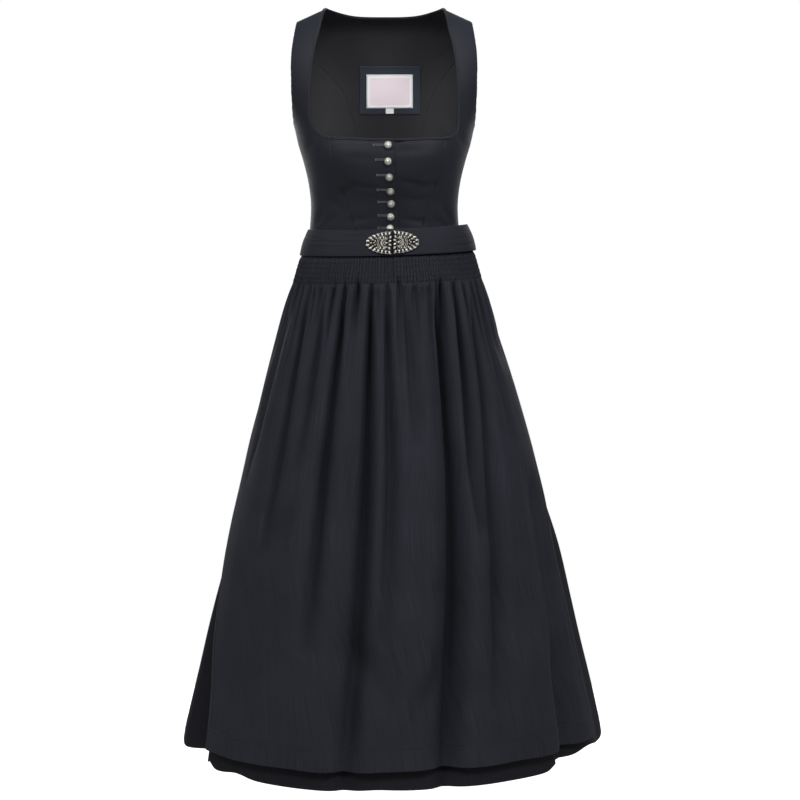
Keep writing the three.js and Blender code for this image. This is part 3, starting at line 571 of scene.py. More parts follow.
# Torso sections: way up (height, then distance over the shoulder), height, half width, front
# depth, back depth.
torso = curves(table("way z half front back", [
    [-394, -394, 131, 92, 86],
    [-360, -360, 126, 91, 84],
    [-320, -320, 124, 101, 85],
    [-284, -284, 128, 119, 88],
    [-250, -250, 136, 127, 93],
    [-220, -220, 145, 124, 98],
    [-190, -190, 152, 113, 100],
    [-160, -160, 162, 104, 101],
    [-130, -130, 172, 97, 100],
    [-100, -100, 177, 89, 98],
    [-65, -65, 178, 77, 91],
    [-35, -35, 177, 61, 80],
    [-12, -12, 175, 42, 66],
    [10, 3, 173, 21, 42],
    [32, 8, 172, 0, 0],
]))

# Side front panel, from the waist over the bust and up the strap: its edge on the princess seam
# and the neckline, then its edge on the side seam and the armhole.
side_front = table("neck_x neck_way arm_x arm_way", [
    [54, -394, side, -394],
    [57, -360, side, -360],
    [69, -320, side, -320],
    [83, -284, side, -284],
    [91.5, -250, side, -250],
    [93, -229, side, -220],
    [93.5, -216, side, -203],
    [102, -213, side, -190],
    [111, -206, 152.5, -184],
    [118.5, -190, 153.5, -168],
    [121, -163, 154, -148],
    [120, -130, 154.5, -120],
    [118, -95, 155, -90],
    [113, -60, 154, -58],
    [107, -35, 152, -33],
    [102.5, -8, 149.5, -8],
    [99.5, 12, 148, 12],
    [98, shoulder_seam, 147, shoulder_seam],
])
neck_corner = 6               # the row where the princess seam meets the neckline

# Side back panel: its curved seam, which ends on the armhole, then its edge on the side seam and
# the armhole.
side_back = table("seam_x seam_way arm_x arm_way", [
    [42, -394, side, -394],
    [42, -360, side, -360],
    [44, -320, side, -320],
    [47, -284, side, -284],
    [50, -250, side, -250],
    [54, -220, side, -220],
    [57, -200, side, -203],
    [60, -180, side, -190],
    [66, -155, 152.5, -180],
    [76, -128, 153.5, -160],
    [91, -104, 154, -135],
    [112, -80, 154.5, -108],
    [134, -62, 155, -82],
    [150.5, -56, 154.6, -62],
])

# Above the end of that seam the middle back goes on to the armhole and the shoulder.
strap_back = table("edge_x edge_way", [
    [153.8, -50],
    [152, -33],
    [149.5, -8],
    [148, 12],
    [147, shoulder_seam],
])
back_neck_way = 5
back_neck_share = 2 / 3

buttons = table("x z", [[7, -231], [7, -257], [9, -282], [11, -304], [12, -324], [11, -345], [10, -364]])

# Soft creases of the bodice: front 1 or back -1, place across, way up, slant in degrees, half
# length, half width, depth. A depth below nothing is a ridge.
bodice_creases = table("face x way slant long wide deep", [
    [1, -66, -306, 24, 16, 6, 1.3],
    [1, -84, -322, -32, 20, 5, 1.0],
    [1, -34, -298, -8, 22, 5, 0.8],
    [1, 44, -292, -10, 20, 6, 1.3],
    [1, 78, -294, 16, 22, 6, 1.4],
    [1, 48, -318, -4, 14, 5, 0.7],
    [1, 56, -352, -8, 20, 5, 1.2],
    [1, -104, -340, 62, 18, 5, 1.5],
    [1, -92, -352, 40, 16, 5, 1.0],
    [1, 104, -338, -58, 20, 6, 1.6],
    [1, 92, -352, -34, 16, 5, 1.1],
    [1, -44, -350, 6, 22, 5, 0.8],
    [1, -112, -210, 66, 22, 7, 1.0],
    [1, 122, -206, -64, 22, 7, 1.0],
    [1, 40, -240, 4, 26, 7, 0.7],
    [1, -40, -252, -6, 26, 7, 0.6],
    [-1, -70, -330, 12, 30, 6, 1.4],
    [-1, 78, -322, -14, 32, 6, 1.5],
    [-1, 8, -344, 3, 40, 6, 1.3],
    [-1, -92, -296, 30, 26, 6, 1.1],
    [-1, 98, -290, -28, 24, 6, 1.1],
    [-1, -104, -196, 58, 26, 7, 1.0],
    [-1, 110, -190, -60, 26, 7, 1.0],
])


def section_shares(angle, full=fullness):
    """Shares of a section's half width and depth at an angle: the sine, and the rest of a
    superellipse of that fullness, below nothing at the back."""
    across = np.sin(np.radians(angle))
    along = np.maximum(0, 1 - np.abs(across) ** (2 / full)) ** (full / 2)
    return across, np.where(np.cos(np.radians(angle)) > 0, along, -along)


def torso_point(angle, way):
    """The torso's point at an angle (0 front, 90 the wearer's left) and a way up: its section's
    half width and depth times their shares, the cups as soft humps, and the fall of the shoulder."""
    across, along = section_shares(angle)
    depth = np.where(along > 0, torso["front"](way), torso["back"](way))
    x = torso["half"](way) * across
    fall = shoulder_slope * ease((way + 110) / 120) * np.maximum(0, np.abs(x) - strap_inside)
    sides = np.maximum(bump((x - centre_front - cup_side) / cup_width),
                       bump((x - centre_front + cup_side) / cup_width))
    cup = np.where(along > 0, bump((way - cup_level) / cup_width) * sides, 0)
    return xyz(x, -depth * along - cup_height * cup, torso["z"](way) - fall)


def torso_normal(angle, way):
    """The torso's outward normal, from points just beside. On the shoulder seam it leans neither
    forward nor back, and on the waist seam it is level."""
    across = torso_point(angle + 0.6, way - 0.2) - torso_point(angle - 0.6, way - 0.2)
    up = torso_point(angle, way + 3) - torso_point(angle, way - 3)
    normal = unit(np.cross(across, up))
    normal[..., 1] *= 1 - ease((way - shoulder_seam + 9) / 8)
    normal[..., 2] *= ease((way - waist_seam) / 8)
    return unit(normal)


def front_angle(x, way):
    """The angle where the torso's section reaches a place across, just short of the side seam."""
    share = np.minimum(np.abs(x) / torso["half"](way), 1)
    return np.sign(x) * np.minimum(np.degrees(np.arcsin(share)), 90 - side_seam_angle)


def back_angle(x, way):
    """The same at the back."""
    return 180 - front_angle(x, way)


def seam_shift(way):
    """The front seams follow the button line, the neckline the middle of the body."""
    return centre_front * ease((-180 - way) / 34)


def back_seam_shift(way):
    """The back seams do so from the waist to the shoulder blades."""
    return centre_front * ease((-60 - way) / 60)


def lap_edge(way):
    """Where the wearer's right front ends on the left one, across."""
    return mix(23.7, 17, ease((way + 363) / 134))


def crease_depth(angle, way):
    """How far the bodice's soft creases draw the cloth in: each is a hump function of the
    distances along and across its slanted middle line."""
    x = torso["half"](way) * np.sin(np.radians(angle))
    face = np.where(np.cos(np.radians(angle)) > 0, 1, -1)
    total = np.zeros(np.broadcast(angle, way).shape)
    for on, cx, cw, slant, long, wide, deep in zip(*bodice_creases.values()):
        c, s = np.cos(np.radians(slant)), np.sin(np.radians(slant))
        along = (x - cx) * c + (way - cw) * s
        across = (way - cw) * c - (x - cx) * s
        total += 1.7 * deep * bump(along / long) * bump(across / wide) * (face == on)
    return total


def pucker(distance, run):
    """Small waves beside a seam, 11 mm long and gone 9 mm away from it."""
    return 0.22 * np.sin(2 * np.pi * run / 11 + 2 * wander(run, 60, 3)) * bump(distance / 6)


def panel(name, angle, way, sunk=0.0):
    """A panel of the bodice from grids of angles and ways. The outer face is the torso less the
    creases, with small waves along both of its long edges."""
    normals = torso_normal(angle, way)
    plain = torso_point(angle, way) - normals * np.broadcast_to(sunk, angle.shape)[..., None]
    run = run_along(plain)
    waves = pucker(run, way) + pucker(run[:, -1:] - run, way + 4)
    drawn_in = crease_depth(angle, way)
    face = plain - normals * (drawn_in - waves)[..., None]
    back = plain - normals * (bodice_wall + 0.5 * drawn_in)[..., None]
    uv = np.stack([run - run[:, -1:] / 2, plain[..., 2]], -1) / 1000
    made = cloth(name, face, back, bodice_wall, normals, uv, [bodice_finish, lining_finish],
                 "bodice_cloth", [name])
    length = run_along(plain.swapaxes(0, 1)).max() / 1000


row_edge = {name: curve(np.arange(18.0), side_front[name], neck_corner)
            for name in ("neck_x", "neck_way")}
arm_way = curve(np.arange(18.0), side_front["arm_way"])
arm_angle = curve(np.arange(18.0), front_angle(side_front["arm_x"], side_front["arm_way"]))


def neck_angle(row, hand, kept):
    """The angle of a side front panel's inner edge at a row of its table, for one hand, with a
    part of the seam's gap kept back."""
    way = row_edge["neck_way"](row)
    return front_angle(seam_shift(way) + hand * (row_edge["neck_x"](row) + kept), way)


def side_front_panel(name, hand):
    """From the princess seam and neckline to the side seam and armhole, straight between them in
    angle and way."""
    row = np.linspace(0, 17, 137)[:, None]
    share = shares(40, 0.025)[None]
    arm = hand * np.minimum(arm_angle(row), 90 - side_seam_angle)
    angle = mix(neck_angle(row, hand, seam_gap / 2), arm, share)
    way = mix(row_edge["neck_way"](row), arm_way(row), share)
    panel(name, angle[:, ::hand], way[:, ::hand])


def front_place(x, row):
    """Angle and way of a place across on a front panel. Its upper edge hangs lower towards the
    button line."""
    way = row_edge["neck_way"](row)
    middle = np.maximum(0, 1 - ((x - centre_front) / 94) ** 2)
    way = way - neck_dip * middle * ease((way + 262) / 46)
    return front_angle(x, way), way


def front_panels():
    """The two fronts, straight across between the princess seams and the lap. The left one goes in
    under the lap, a wall deeper there."""
    row = np.linspace(0, neck_corner, 104)[:, None]
    way = row_edge["neck_way"](row)
    share = shares(44, 0.03)[None]
    inner = row_edge["neck_x"](row) - seam_gap / 2
    x = mix(seam_shift(way) - inner, lap_edge(way), share)
    panel("front_right", *front_place(x, row))
    x = mix(lap_edge(way) - 32, seam_shift(way) + inner, share)
    step = bodice_wall + seam_gap + 0.15
    panel("front_left", *front_place(x, row), step * (1 - ease((x - lap_edge(way) - 3) / 22)))


seam_at = {name: curve(np.arange(14.0), side_back[name]) for name in ("seam_x", "seam_way", "arm_way")}
back_arm_angle = curve(np.arange(14.0), front_angle(side_back["arm_x"], side_back["arm_way"]))


def side_back_panel(name, hand):
    """From the side seam and armhole to the curved back seam."""
    row = np.linspace(0, 13, 118)[:, None]
    share = shares(36, 0.03)[None]
    way = seam_at["seam_way"](row)
    seam = back_angle(back_seam_shift(way) + hand * (seam_at["seam_x"](row) + seam_gap / 2), way)
    arm = 180 - hand * np.minimum(back_arm_angle(row), 90 - side_seam_angle)
    angle = mix(arm, seam, share)
    ways = mix(seam_at["arm_way"](row), way, share)
    panel(name, angle[:, ::hand], ways[:, ::hand])


def back_place(row, column):
    """Angle and way of the middle back at a row of its edges and a column from 1, the wearer's
    left, to -1. The rows rise less towards the middle, where they end in the neckline."""
    seam_end = len(side_back["seam_x"]) - 1
    rows = np.arange(seam_end + 1.0 + len(strap_back["edge_x"]))
    ways = np.concatenate([side_back["seam_way"], strap_back["edge_way"]])
    halves = np.concatenate([side_back["seam_x"] - seam_gap / 2, strap_back["edge_x"]])
    edge_way = curve(rows, ways, seam_end)(row)
    own_top = mix(back_neck_way, shoulder_seam, np.minimum(np.abs(column) / back_neck_share, 1) ** 4)
    way = mix(waist_seam, own_top, (edge_way - waist_seam) / (shoulder_seam - waist_seam))
    x = back_seam_shift(edge_way) + column * curve(rows, halves, seam_end)(row)
    return back_angle(x, way), way


def back_centre_panel():
    """The middle back: straps, shoulders and the back neck in one piece."""
    row = np.linspace(0, 18, 145)[:, None]
    panel("back_centre", *back_place(row, 1 - 2 * shares(86, 0.012)[None]))


# A soft strip's section: how far in from the edge, and how far out from the panel.
strip_section = np.array([(0.1, 0.4), (4.3, 0.4), (4.4, 0.55), (4.25, 0.8), (3.4, 1.0),
                          (2.2, 1.05), (1.0, 1.0), (0.2, 0.85), (0.0, 0.6)])


def binding(name, angle, way, lift=0.0):
    """A narrow strip along an edge given by angles and ways, with the cloth at the right of the
    path seen from outside. Returns its two rows of stitches."""
    normals = torso_normal(angle, way)
    path = torso_point(angle, way) + normals * lift
    points, faces = sweep(path, normals, strip_section)
    run = np.insert(np.cumsum(np.linalg.norm(np.diff(path, axis=0), axis=-1)), 0, 0)
    uv = np.stack(np.broadcast_arrays(strip_section[None, :, 0], run[:, None]), -1).reshape(-1, 2)
    made = put(name, points, faces, [binding_finish], "binding_cloth", [name], uv / 1000)
    inward = unit(np.cross(np.gradient(path, axis=0), normals))
    return join([stitches(path + inward * at + normals * 0.85, normals, radius=0.26) for at in (0.9, 3.5)])


def bindings():
    """The strip along the neckline in three pieces: down each strap and along the front, and
    round the back neck. Returns their stitches."""
    row = np.linspace(17, neck_corner, 90)
    level = row_edge["neck_way"](float(neck_corner))
    sewn = []
    for hand, name in ((-1, "right"), (1, "left")):
        corner = seam_shift(level) + hand * row_edge["neck_x"](float(neck_corner))
        x = np.linspace(corner, lap_edge(level) + 1.2 * (1 + hand), 60)[1:]
        top_angle, top_way = front_place(x, np.full(59, float(neck_corner)))
        angle = np.concatenate([neck_angle(row, hand, seam_gap / 2), top_angle])
        way = np.concatenate([row_edge["neck_way"](row), top_way])
        sewn.append(binding(f"neck_binding_{name}", angle[::-hand], way[::-hand]))
    column = np.linspace(back_neck_share, -back_neck_share, 110)
    sewn.append(binding("neck_binding_back", *back_place(np.full(110, 18.0), column), 0.4))
    return join(sewn)


front_panels()
side_front_panel("side_front_right", -1)
side_front_panel("side_front_left", 1)
side_back_panel("side_back_right", -1)
side_back_panel("side_back_left", 1)
back_centre_panel()
put("neckline_stitches", *bindings(), [light_thread], "binding_cloth", [])


def set_on(points, place, normal):
    """Points of a small piece, its +Z along a surface's normal and its +Y as near up as that
    allows, set down on a place."""
    across = unit(np.cross((0, 0, 1), normal))
    return place + points @ np.array([across, np.cross(normal, across), normal])


def on_front(points, x, way):
    """Points of a small piece laid round a place on the bodice's front: x across, y up, z out."""
    ways = way + points[:, 1]
    angle = front_angle(x + points[:, 0], ways)
    return torso_point(angle, ways) + torso_normal(angle, ways) * points[:, 2:]


# A button's rings from the foot to the middle of its dome: radius, height, and how strongly each
# is cut into petals, twisted as a cord, or lies in a hollow.
button_rings = table("radius height petal cord hollow", [
    [0, 0, 0, 0, 1],
    [2.4, 0, 0, 0, 1],
    [2.4, 0.9, 0, 0, 1],
    [5.5, 1.0, 0, 0, 1],
    [5.95, 1.3, 0, 0.6, 0.7],
    [6.1, 1.75, 0, 1, 0.2],
    [6.0, 2.2, 0, 1, 0],
    [5.65, 2.5, 0, 0.8, 0.1],
    [5.3, 2.4, 0, 0.2, 0.8],
    [5.05, 2.35, 0.2, 0, 0.9],
    [4.75, 2.6, 0.6, 0, 0.4],
    [4.2, 2.95, 1, 0, 0.1],
    [3.5, 3.2, 1, 0, 0],
    [2.9, 3.3, 0.7, 0, 0.3],
    [2.5, 3.2, 0.1, 0, 0.9],
    [2.2, 3.3, 0, 0, 0.7],
    [1.95, 3.75, 0, 0, 0.2],
    [1.4, 4.1, 0, 0, 0],
    [0.75, 4.27, 0, 0, 0],
    [0, 4.3, 0, 0, 0],
])
button_petals = 9
cord_twists = 26


def button(name, x, z):
    """A turned button on the right front: a foot, a corded rim, a ring of petals and a boss. Rim and
    petals are sines of the turn, added to the table's heights. It is darker towards its rim."""
    turn = np.linspace(0, 2 * np.pi, 78, endpoint=False)[None]
    ring = {key: values[:, None] for key, values in button_rings.items()}
    cord = ring["cord"] * np.sin(cord_twists * turn + 9 * ring["height"])
    petal = ring["petal"] * np.cos(button_petals * turn)
    radius = ring["radius"] + 0.14 * cord
    points = xyz(radius * np.cos(turn), radius * np.sin(turn), ring["height"] + 0.1 * cord + 0.26 * petal)
    # The hollow mark grows with the radius, so the button is darker towards its rim.
    hollow = ring["hollow"] + 0.42 * (ring["radius"] / 6.1) ** 2 - 0.3 * cord - 0.45 * petal
    shape, faces = turned(points)
    angle = front_angle(x, z)
    normal = torso_normal(angle, z)
    place = torso_point(angle, z) + normal * (seam_gap + 0.1)
    hollow = np.concatenate([hollow[0, :1], hollow[1:-1].ravel(), hollow[-1, :1]])
    put(name, set_on(shape, place, normal), faces, [silver_finish], "silver", [name],
        marks={"hollow": np.clip(hollow, 0, 1)})


# Buttonholes, from the top: where their outer ends lie across, and how far above the button.
buttonholes = table("end_x above", [[-17, 0.4], [-13, 2.4], [-11.5, 3], [-11, 2], [-9.5, 2.6],
                                    [-9.5, 2], [-10, 1]])
hole_height = 2.0
tack_height = 4.4


def satin(path, wide, high, closed):
    """A corded edge of close satin stitches along a flat path: an oval section whose size is a sine
    of the way along, a stitch to each 0.7 mm."""
    run = np.insert(np.cumsum(np.linalg.norm(np.diff(path, axis=0), axis=-1)), 0, 0)
    return sweep(path, np.broadcast_to((0.0, 0.0, 1.0), path.shape), oval(wide, high, 6), closed,
                 1 + 0.14 * np.sin(2 * np.pi * run / 0.7))


def buttonhole_sewing():
    """Worked buttonholes: a long loop of satin stitch that runs in under the button, with a bar across its
    outer end. Returns the stitching, and the near-black slivers inside the loops, painted shade of the
    slits."""
    sewn, slits = [], []
    for x, z, end_x, above in zip(buttons["x"], buttons["z"], *buttonholes.values()):
        long = x - end_x - 1.5
        turn = np.linspace(0, 2 * np.pi, 150, endpoint=False)
        corner = np.clip(1.9 * np.sin(turn), -1, 1) * hole_height / 2
        loop = xyz(long / 2 * (1 + np.cos(turn)), corner, 0.35)
        bar = xyz(np.full(28, 0.0), np.linspace(-tack_height / 2, tack_height / 2, 28), 0.5)
        for path, wide, high, closed in ((loop, 0.65, 0.55, True), (bar, 1.0, 0.7, False)):
            points, faces = satin(path, wide, high, closed)
            sewn.append((on_front(points, end_x, z + above), faces))
        points, faces = beads(np.array([[long / 2, 0, 0.05]]), np.zeros(1), long, 0.9, 0.12, sides=8)
        slits.append((on_front(points, end_x, z + above), faces))
    return join(sewn), join(slits)


def neckline_row():
    """A row of stitches 10 mm below the front neckline, from each princess seam to the buttons."""
    rows = []
    for start, end in ((-76, -22), (22, 88)):
        x = np.linspace(start, end, 60)
        angle, way = front_place(x, np.full(60, float(neck_corner)))
        rows.append(stitches(torso_point(angle, way - 10), torso_normal(angle, way - 10), 3.4, 2.4))
    return join(rows)


def seam_core(angle, way):
    """The closed seam between two panels: a near-black core sunk into the wall, painted shade of the
    seam's gap.
    """
    normals = torso_normal(angle, way)
    return sweep(torso_point(angle, way) - 0.9 * normals, normals, oval(0.9, 0.9, 6))


def seams():
    """The seams of the bodice: in front, at the back, at the sides and on the shoulders."""
    front, back = np.linspace(0.05, neck_corner - 0.05, 90), np.linspace(0.05, 12.95, 90)
    side_way = np.linspace(waist_seam + 1, armhole_bottom, 60)
    shoulder_way = np.full(60, shoulder_seam - 0.1)
    shoulder = front_angle(np.linspace(strap_inside + 0.4, strap_outside - 0.4, 60), shoulder_way)
    made = []
    for hand in (-1, 1):
        made.append(seam_core(neck_angle(front, hand, 0), row_edge["neck_way"](front)))
        way = seam_at["seam_way"](back)
        made.append(seam_core(back_angle(back_seam_shift(way) + hand * seam_at["seam_x"](back), way), way))
        made.append(seam_core(np.full(60, hand * 90.0), side_way))
        made.append(seam_core(hand * shoulder, shoulder_way))
    return join(made)


# Inside the back: middle across and up, width, height, and how far its face lies in from the panel.
label_pieces = {
    "label_patch": (9, -117.5, 106, 83, bodice_wall + seam_gap + trim_wall),
    "label": (8.5, -119, 81, 58, bodice_wall + 2 * (seam_gap + trim_wall)),
    "size_tab": (8.5, -153, 14, 9, bodice_wall + 2 * (seam_gap + trim_wall)),
}


def inside_back(x, z, deep):
    """A point so far inside the back panel, and the outward normal there."""
    angle = back_angle(x, z)
    normals = torso_normal(angle, z)
    return torso_point(angle, z) - normals * np.asarray(deep)[..., None], normals


def label_piece(name, finish, slot):
    """A flat piece sewn inside the back. It lies a little wavy between its stitches."""
    middle_x, middle_z, wide, high, deep = label_pieces[name]
    share, up = np.meshgrid(shares(24, 0.02), shares(20, 0.03))
    x, z = middle_x + wide * (0.5 - share), middle_z + high * (up - 0.5)
    waves = 0.18 * wander(x + 0.4 * z, 31, 51) * wander(z, 23, 52)
    outer, normals = inside_back(x, z, deep - trim_wall + 0 * x)
    inner, _ = inside_back(x, z, deep + waves)
    uv = np.stack([x, z], -1) / 1000
    made = cloth(name, outer, inner, trim_wall, normals, uv, [finish], slot, [name],
                 {"edge": edge_distance(inner)})


def label_sewing(name, inset):
    """Stitches along the four edges of a piece inside the back."""
    middle_x, middle_z, wide, high, deep = label_pieces[name]
    a, b = wide / 2 - inset, high / 2 - inset
    corners = np.array([(-a, -b), (a, -b), (a, b), (-a, b), (-a, -b)])
    rows = []
    for start, end in zip(corners[:-1], corners[1:]):
        along = mix(start, end, np.linspace(0, 1, 40)[:, None])
        points, normals = inside_back(middle_x + along[:, 0], middle_z + along[:, 1], deep + 0.15)
        rows.append(stitches(points, -normals, 2.8, 2.0, radius=0.26))
    return join(rows)


for i, (x, z) in enumerate(zip(*buttons.values())):
    button(f"button_{i + 1}", x, z)
sewn, slits = buttonhole_sewing()
put("buttonhole_stitches", *sewn, [hole_thread], "bodice_cloth", [])
put("buttonhole_slits", *slits, [painted_gap_shade], "bodice_cloth", [])
put("neckline_row", *neckline_row(), [dark_thread], "bodice_cloth", [])
put("bodice_seams", *seams(), [painted_gap_shade], "bodice_cloth", [])
label_piece("label_patch", patch_finish, "bodice_cloth")
label_piece("label", label_finish, "label_cloth")
label_piece("size_tab", tab_finish, "tab_cloth")
put("label_stitches", *join([label_sewing("label_patch", 3), label_sewing("label", 1.2)]),
    [dark_thread], "label_cloth", [])

# ---------------------------------------------------------------- skirt and apron

# Skirt sections over the apron: height, half width, front depth, back depth, sideways drift.
drape = curves(table("way half front back drift", [
    [-1260, 361, 344, 318, 14],
    [-1210, 356, 334, 309, 15],
    [-1099, 330, 302, 280, 15],
    [-926, 290, 255, 237, 14],
    [-754, 247, 207, 192, 11],
    [-617, 211, 168, 155, 8],
    [-515, 182, 139, 128, 6],
    [-448, 161, 120, 110, 6],
    [-414, 151, 110, 101, 6],
    [-380, 141, 101, 93, 6],
]))

# The apron's two side edges: height, angle at the wearer's right, angle at the left.
apron_edge = curves(table("way right left", [
    [-1220, -59, 71.5],
    [-1165, -61, 71.5],
    [-1075, -67, 72],
    [-982, -75, 72.5],
    [-890, -84, 74],
    [-800, -90, 80],
    [-700, -94, 89],
    [-560, -96, 95],
    [-400, -97, 97],
]))

# Long folds: angle at the waist, half way down and at the hem, the heights they run between,
# depth, half width, and how much deeper their narrow middle is, which only the cloth has.
folds = table("waist middle hem from to deep wide core", [
    [-72, -73, -71, -455, -790, 9, 15, 6],
    [-54, -51, -50, -455, -900, 11, 16, 11],
    [-39, -39.5, -38, -455, -760, 10, 15, 11],
    [-25.5, -28, -27, -455, -1040, 13, 17, 16],
    [-10, -10.5, -13, -455, -1300, 19, 20, 17],
    [-0.5, -0.5, -5, -455, -1020, 10, 15, 12],
    [11, 10, 9, -455, -720, 9, 14, 10],
    [30.5, 24.7, 13.2, -440, -1300, 26, 22, 20],
    [45, 33.5, 30, -455, -860, 10, 16, 19],
    [59, 42, 26, -455, -1130, 13, 18, 12],
    [68, 68, 54, -740, -1500, 10, 20, 0],
    [68, 68, 54, -1000, -1500, 16, 24, 0],
    [-98, -98, -68.5, -900, -1500, 18, 24, 0],
    [-98, -98, -68.5, -1050, -1500, 32, 30, 0],
    [104, 103, 106, -440, -1300, 20, 20, 15],
    [122, 125, 121, -430, -1020, 14, 17, 12],
    [138, 137, 141, -430, -1400, 24, 22, 19],
    [154, 156, 153, -430, -900, 12, 16, 11],
    [170, 168, 172, -430, -1400, 22, 21, 17],
    [188, 189, 186, -430, -1100, 15, 18, 13],
    [205, 202, 207, -430, -1400, 25, 23, 20],
    [221, 223, 220, -430, -860, 12, 16, 11],
    [236, 238, 233, -430, -1400, 21, 20, 16],
    [254, 251, 255, -430, -1180, 17, 19, 13],
])

# Soft dents of the apron: place across, height, slant in degrees, half length, half width, depth.
dents = table("x z slant long wide deep", [
    [-163, -842, 58, 46, 15, 8],
    [-34, -1048, -52, 56, 24, 8],
    [-12, -1010, 62, 40, 15, 4],
    [74, -1088, 66, 60, 17, 8],
    [196, -560, -64, 40, 12, 5],
])

# Where the skirt's hem curls up a little: angle, half width in degrees, and how far. Below nothing
# it hangs lower.
hem_curls = table("angle wide rise", [
    [-83, 9, 13],
    [-70, 6, 8],
    [-59, 2.5, 8],
    [-45.5, 5, 5.5],
    [-4, 5, 2],
    [14, 30, -1.4],
    [48.5, 2.5, 6],
    [91, 5, 8],
    [128, 6, 4],
    [163, 4, 5],
    [206, 5, 5],
    [238, 6, 4],
])

# Short folds between them, which only the cloth has, in the same columns.
short_folds = table("waist middle hem from to deep wide", [
    [-64, -62, -62, -455, -560, 3.5, 6],
    [-47, -45, -45, -455, -600, 4.5, 7],
    [-32, -34, -34, -455, -570, 3.5, 5],
    [-17.5, -20, -20, -455, -640, 6, 7],
    [-5.5, -6, -6, -455, -540, 3, 5],
    [6.5, 5, 5, -455, -700, 5.5, 6.5],
    [15, 14, 14, -455, -590, 4.5, 6],
    [20.5, 19, 19, -455, -530, 3, 5],
    [33, 28, 28, -455, -680, 6, 7],
    [52, 49, 49, -455, -545, 3, 5],
    [65.5, 58, 58, -455, -760, 7, 9],
    [75, 70, 70, -455, -620, 4.5, 7],
    [-80, -80, -80, -455, -640, 5, 7],
    [96, 97, 97, -440, -560, 4, 6],
    [113, 112, 112, -430, -620, 5, 7],
    [130, 132, 132, -430, -580, 4, 6],
    [146, 147, 147, -430, -660, 5.5, 7],
    [162, 161, 161, -430, -570, 4, 6],
    [179, 180, 180, -430, -700, 6, 8],
    [196, 195, 195, -430, -560, 4, 6],
    [213, 214, 214, -430, -640, 5, 7],
    [229, 230, 230, -430, -590, 4.5, 6],
    [245, 246, 246, -430, -680, 5.5, 7],
    [262, 261, 261, -430, -600, 4, 6],
])


def front_radius(z):
    """The mean of the skirt's half width and front depth at a height."""
    return (drape["half"](z) + drape["front"](z)) / 2


def turn_from(angle, centre):
    """Degrees from one angle to another, the short way round."""
    return (angle - centre + 180) % 360 - 180


def way_down(z):
    """The share of the way from the waist down to the apron's hem."""
    return np.clip((waist_seam - z) / (waist_seam - apron_hem), 0, 1)


def fold_line(down, waist, middle, hem):
    """The angle of a fold's middle line on its way down: straight from the waist to 0.45 of the way,
    and straight on to the hem."""
    return np.where(down < 0.45, mix(waist, middle, down / 0.45), mix(middle, hem, (down - 0.45) / 0.55))


def fold_depth(angle, z):
    """How far folds pull the cloth in. Each is a soft trough that deepens on its way down, wanders
    from its waist angle to its hem angle, and is a hump function of the way round from there."""
    down = way_down(z)
    grown = 0.45 + 0.55 * ease(down / 0.5)
    total = np.zeros(np.broadcast(angle, z).shape)
    for waist, middle, hem, first, last, deep, wide, _ in zip(*folds.values()):
        apart = np.radians(turn_from(angle, fold_line(down, waist, middle, hem))) * front_radius(z)
        reach = ease((first - z) / 90) * ease((z - last) / 190)
        total += deep * reach * grown * bump(apart / wide)
    return total


def fold_start(first, i):
    """Where a fold begins: each a little higher or lower than the next, some in the smocking."""
    return first + 8 + 8 * np.sin(2.4 * i)


def fold_core(angle, z):
    """The narrow deep middle of each long fold. It starts at the gathering line, at a quarter of
    its depth and 2.4 mm half width, is full 110 mm lower, and gets wider and shallower from there.
    The wall towards the wearer's right is the steeper one."""
    down = way_down(z)
    total = np.zeros(np.broadcast(angle, z).shape)
    for i, (waist, middle, hem, first, last, _, wide, core) in enumerate(zip(*folds.values())):
        apart = np.radians(turn_from(angle, fold_line(down, waist, middle, hem))) * front_radius(z)
        along = np.clip((first - z) / (first - last), 0, 1)
        reach = ease((fold_start(first, i) - z) / 22) * (1 - along) ** 0.4
        grown = mix(0.25, 1, ease((first - z) / 110))
        walls = mix(2.4, 0.8 * wide, along ** 0.8) * np.where(apart > 0, 1.6, 0.6)
        total += core * reach * grown * bump(apart / walls)
    return total


def lapped_fold(angle, z):
    """The cloth left of the middle of this fold laps a little over the cloth beside it: a steep wall
    3 mm wide on one side, a slope of 45 mm on the other. It lies further out near its top."""
    centre = 56 + 6 * ease((z + 900) / 200)
    apart = np.radians(angle - centre) * front_radius(z)
    return 6 * ease((-690 - z) / 240) * bump(apart / np.where(apart < 0, 3.0, 45.0))


def dent_depth(angle, z):
    """Soft dents in front: each a hump function of the distances along and across its middle line."""
    x = drape["drift"](z) + drape["half"](z) * np.sin(np.radians(angle))
    total = np.zeros(np.broadcast(angle, z).shape)
    for cx, cz, slant, long, wide, deep in zip(*dents.values()):
        c, s = np.cos(np.radians(slant)), np.sin(np.radians(slant))
        along, across = (x - cx) * c + (z - cz) * s, (z - cz) * c - (x - cx) * s
        total += deep * bump(along / long) * bump(across / wide)
    return total * (np.cos(np.radians(angle)) > 0)


def creases(angle, z):
    """All that the cloth's folds add to those of the solids."""
    return fold_core(angle, z) + short_fold_depth(angle, z) + lapped_fold(angle, z) + dent_depth(angle, z)


def fold_shade_mark(angle, z, gathered=0.0):
    """How deep in a narrow fold or gather a point lies, from 0 to 1: the mark by which the cloth's finish
    paints shade into its hollows.
    """
    deep = fold_core(angle, z) + short_fold_depth(angle, z) + 0.3 * dent_depth(angle, z)
    return np.clip((deep + gathered) / 17, 0, 1)


def short_fold_depth(angle, z):
    """The short folds start at once under the gathering line and run out softly."""
    total = np.zeros(np.broadcast(angle, z).shape)
    for i, (waist, middle, _, first, last, deep, wide) in enumerate(zip(*short_folds.values())):
        along = np.clip((first - z) / (first - last), 0, 1)
        apart = np.radians(turn_from(angle, mix(waist, middle, along))) * front_radius(z)
        reach = ease((fold_start(first, i + 0.7) - z) / 20) * (1 - ease(along))
        widen = wide * (0.4 + 0.9 * along)
        total += 1.4 * deep * reach * bump(apart / widen)
    return total


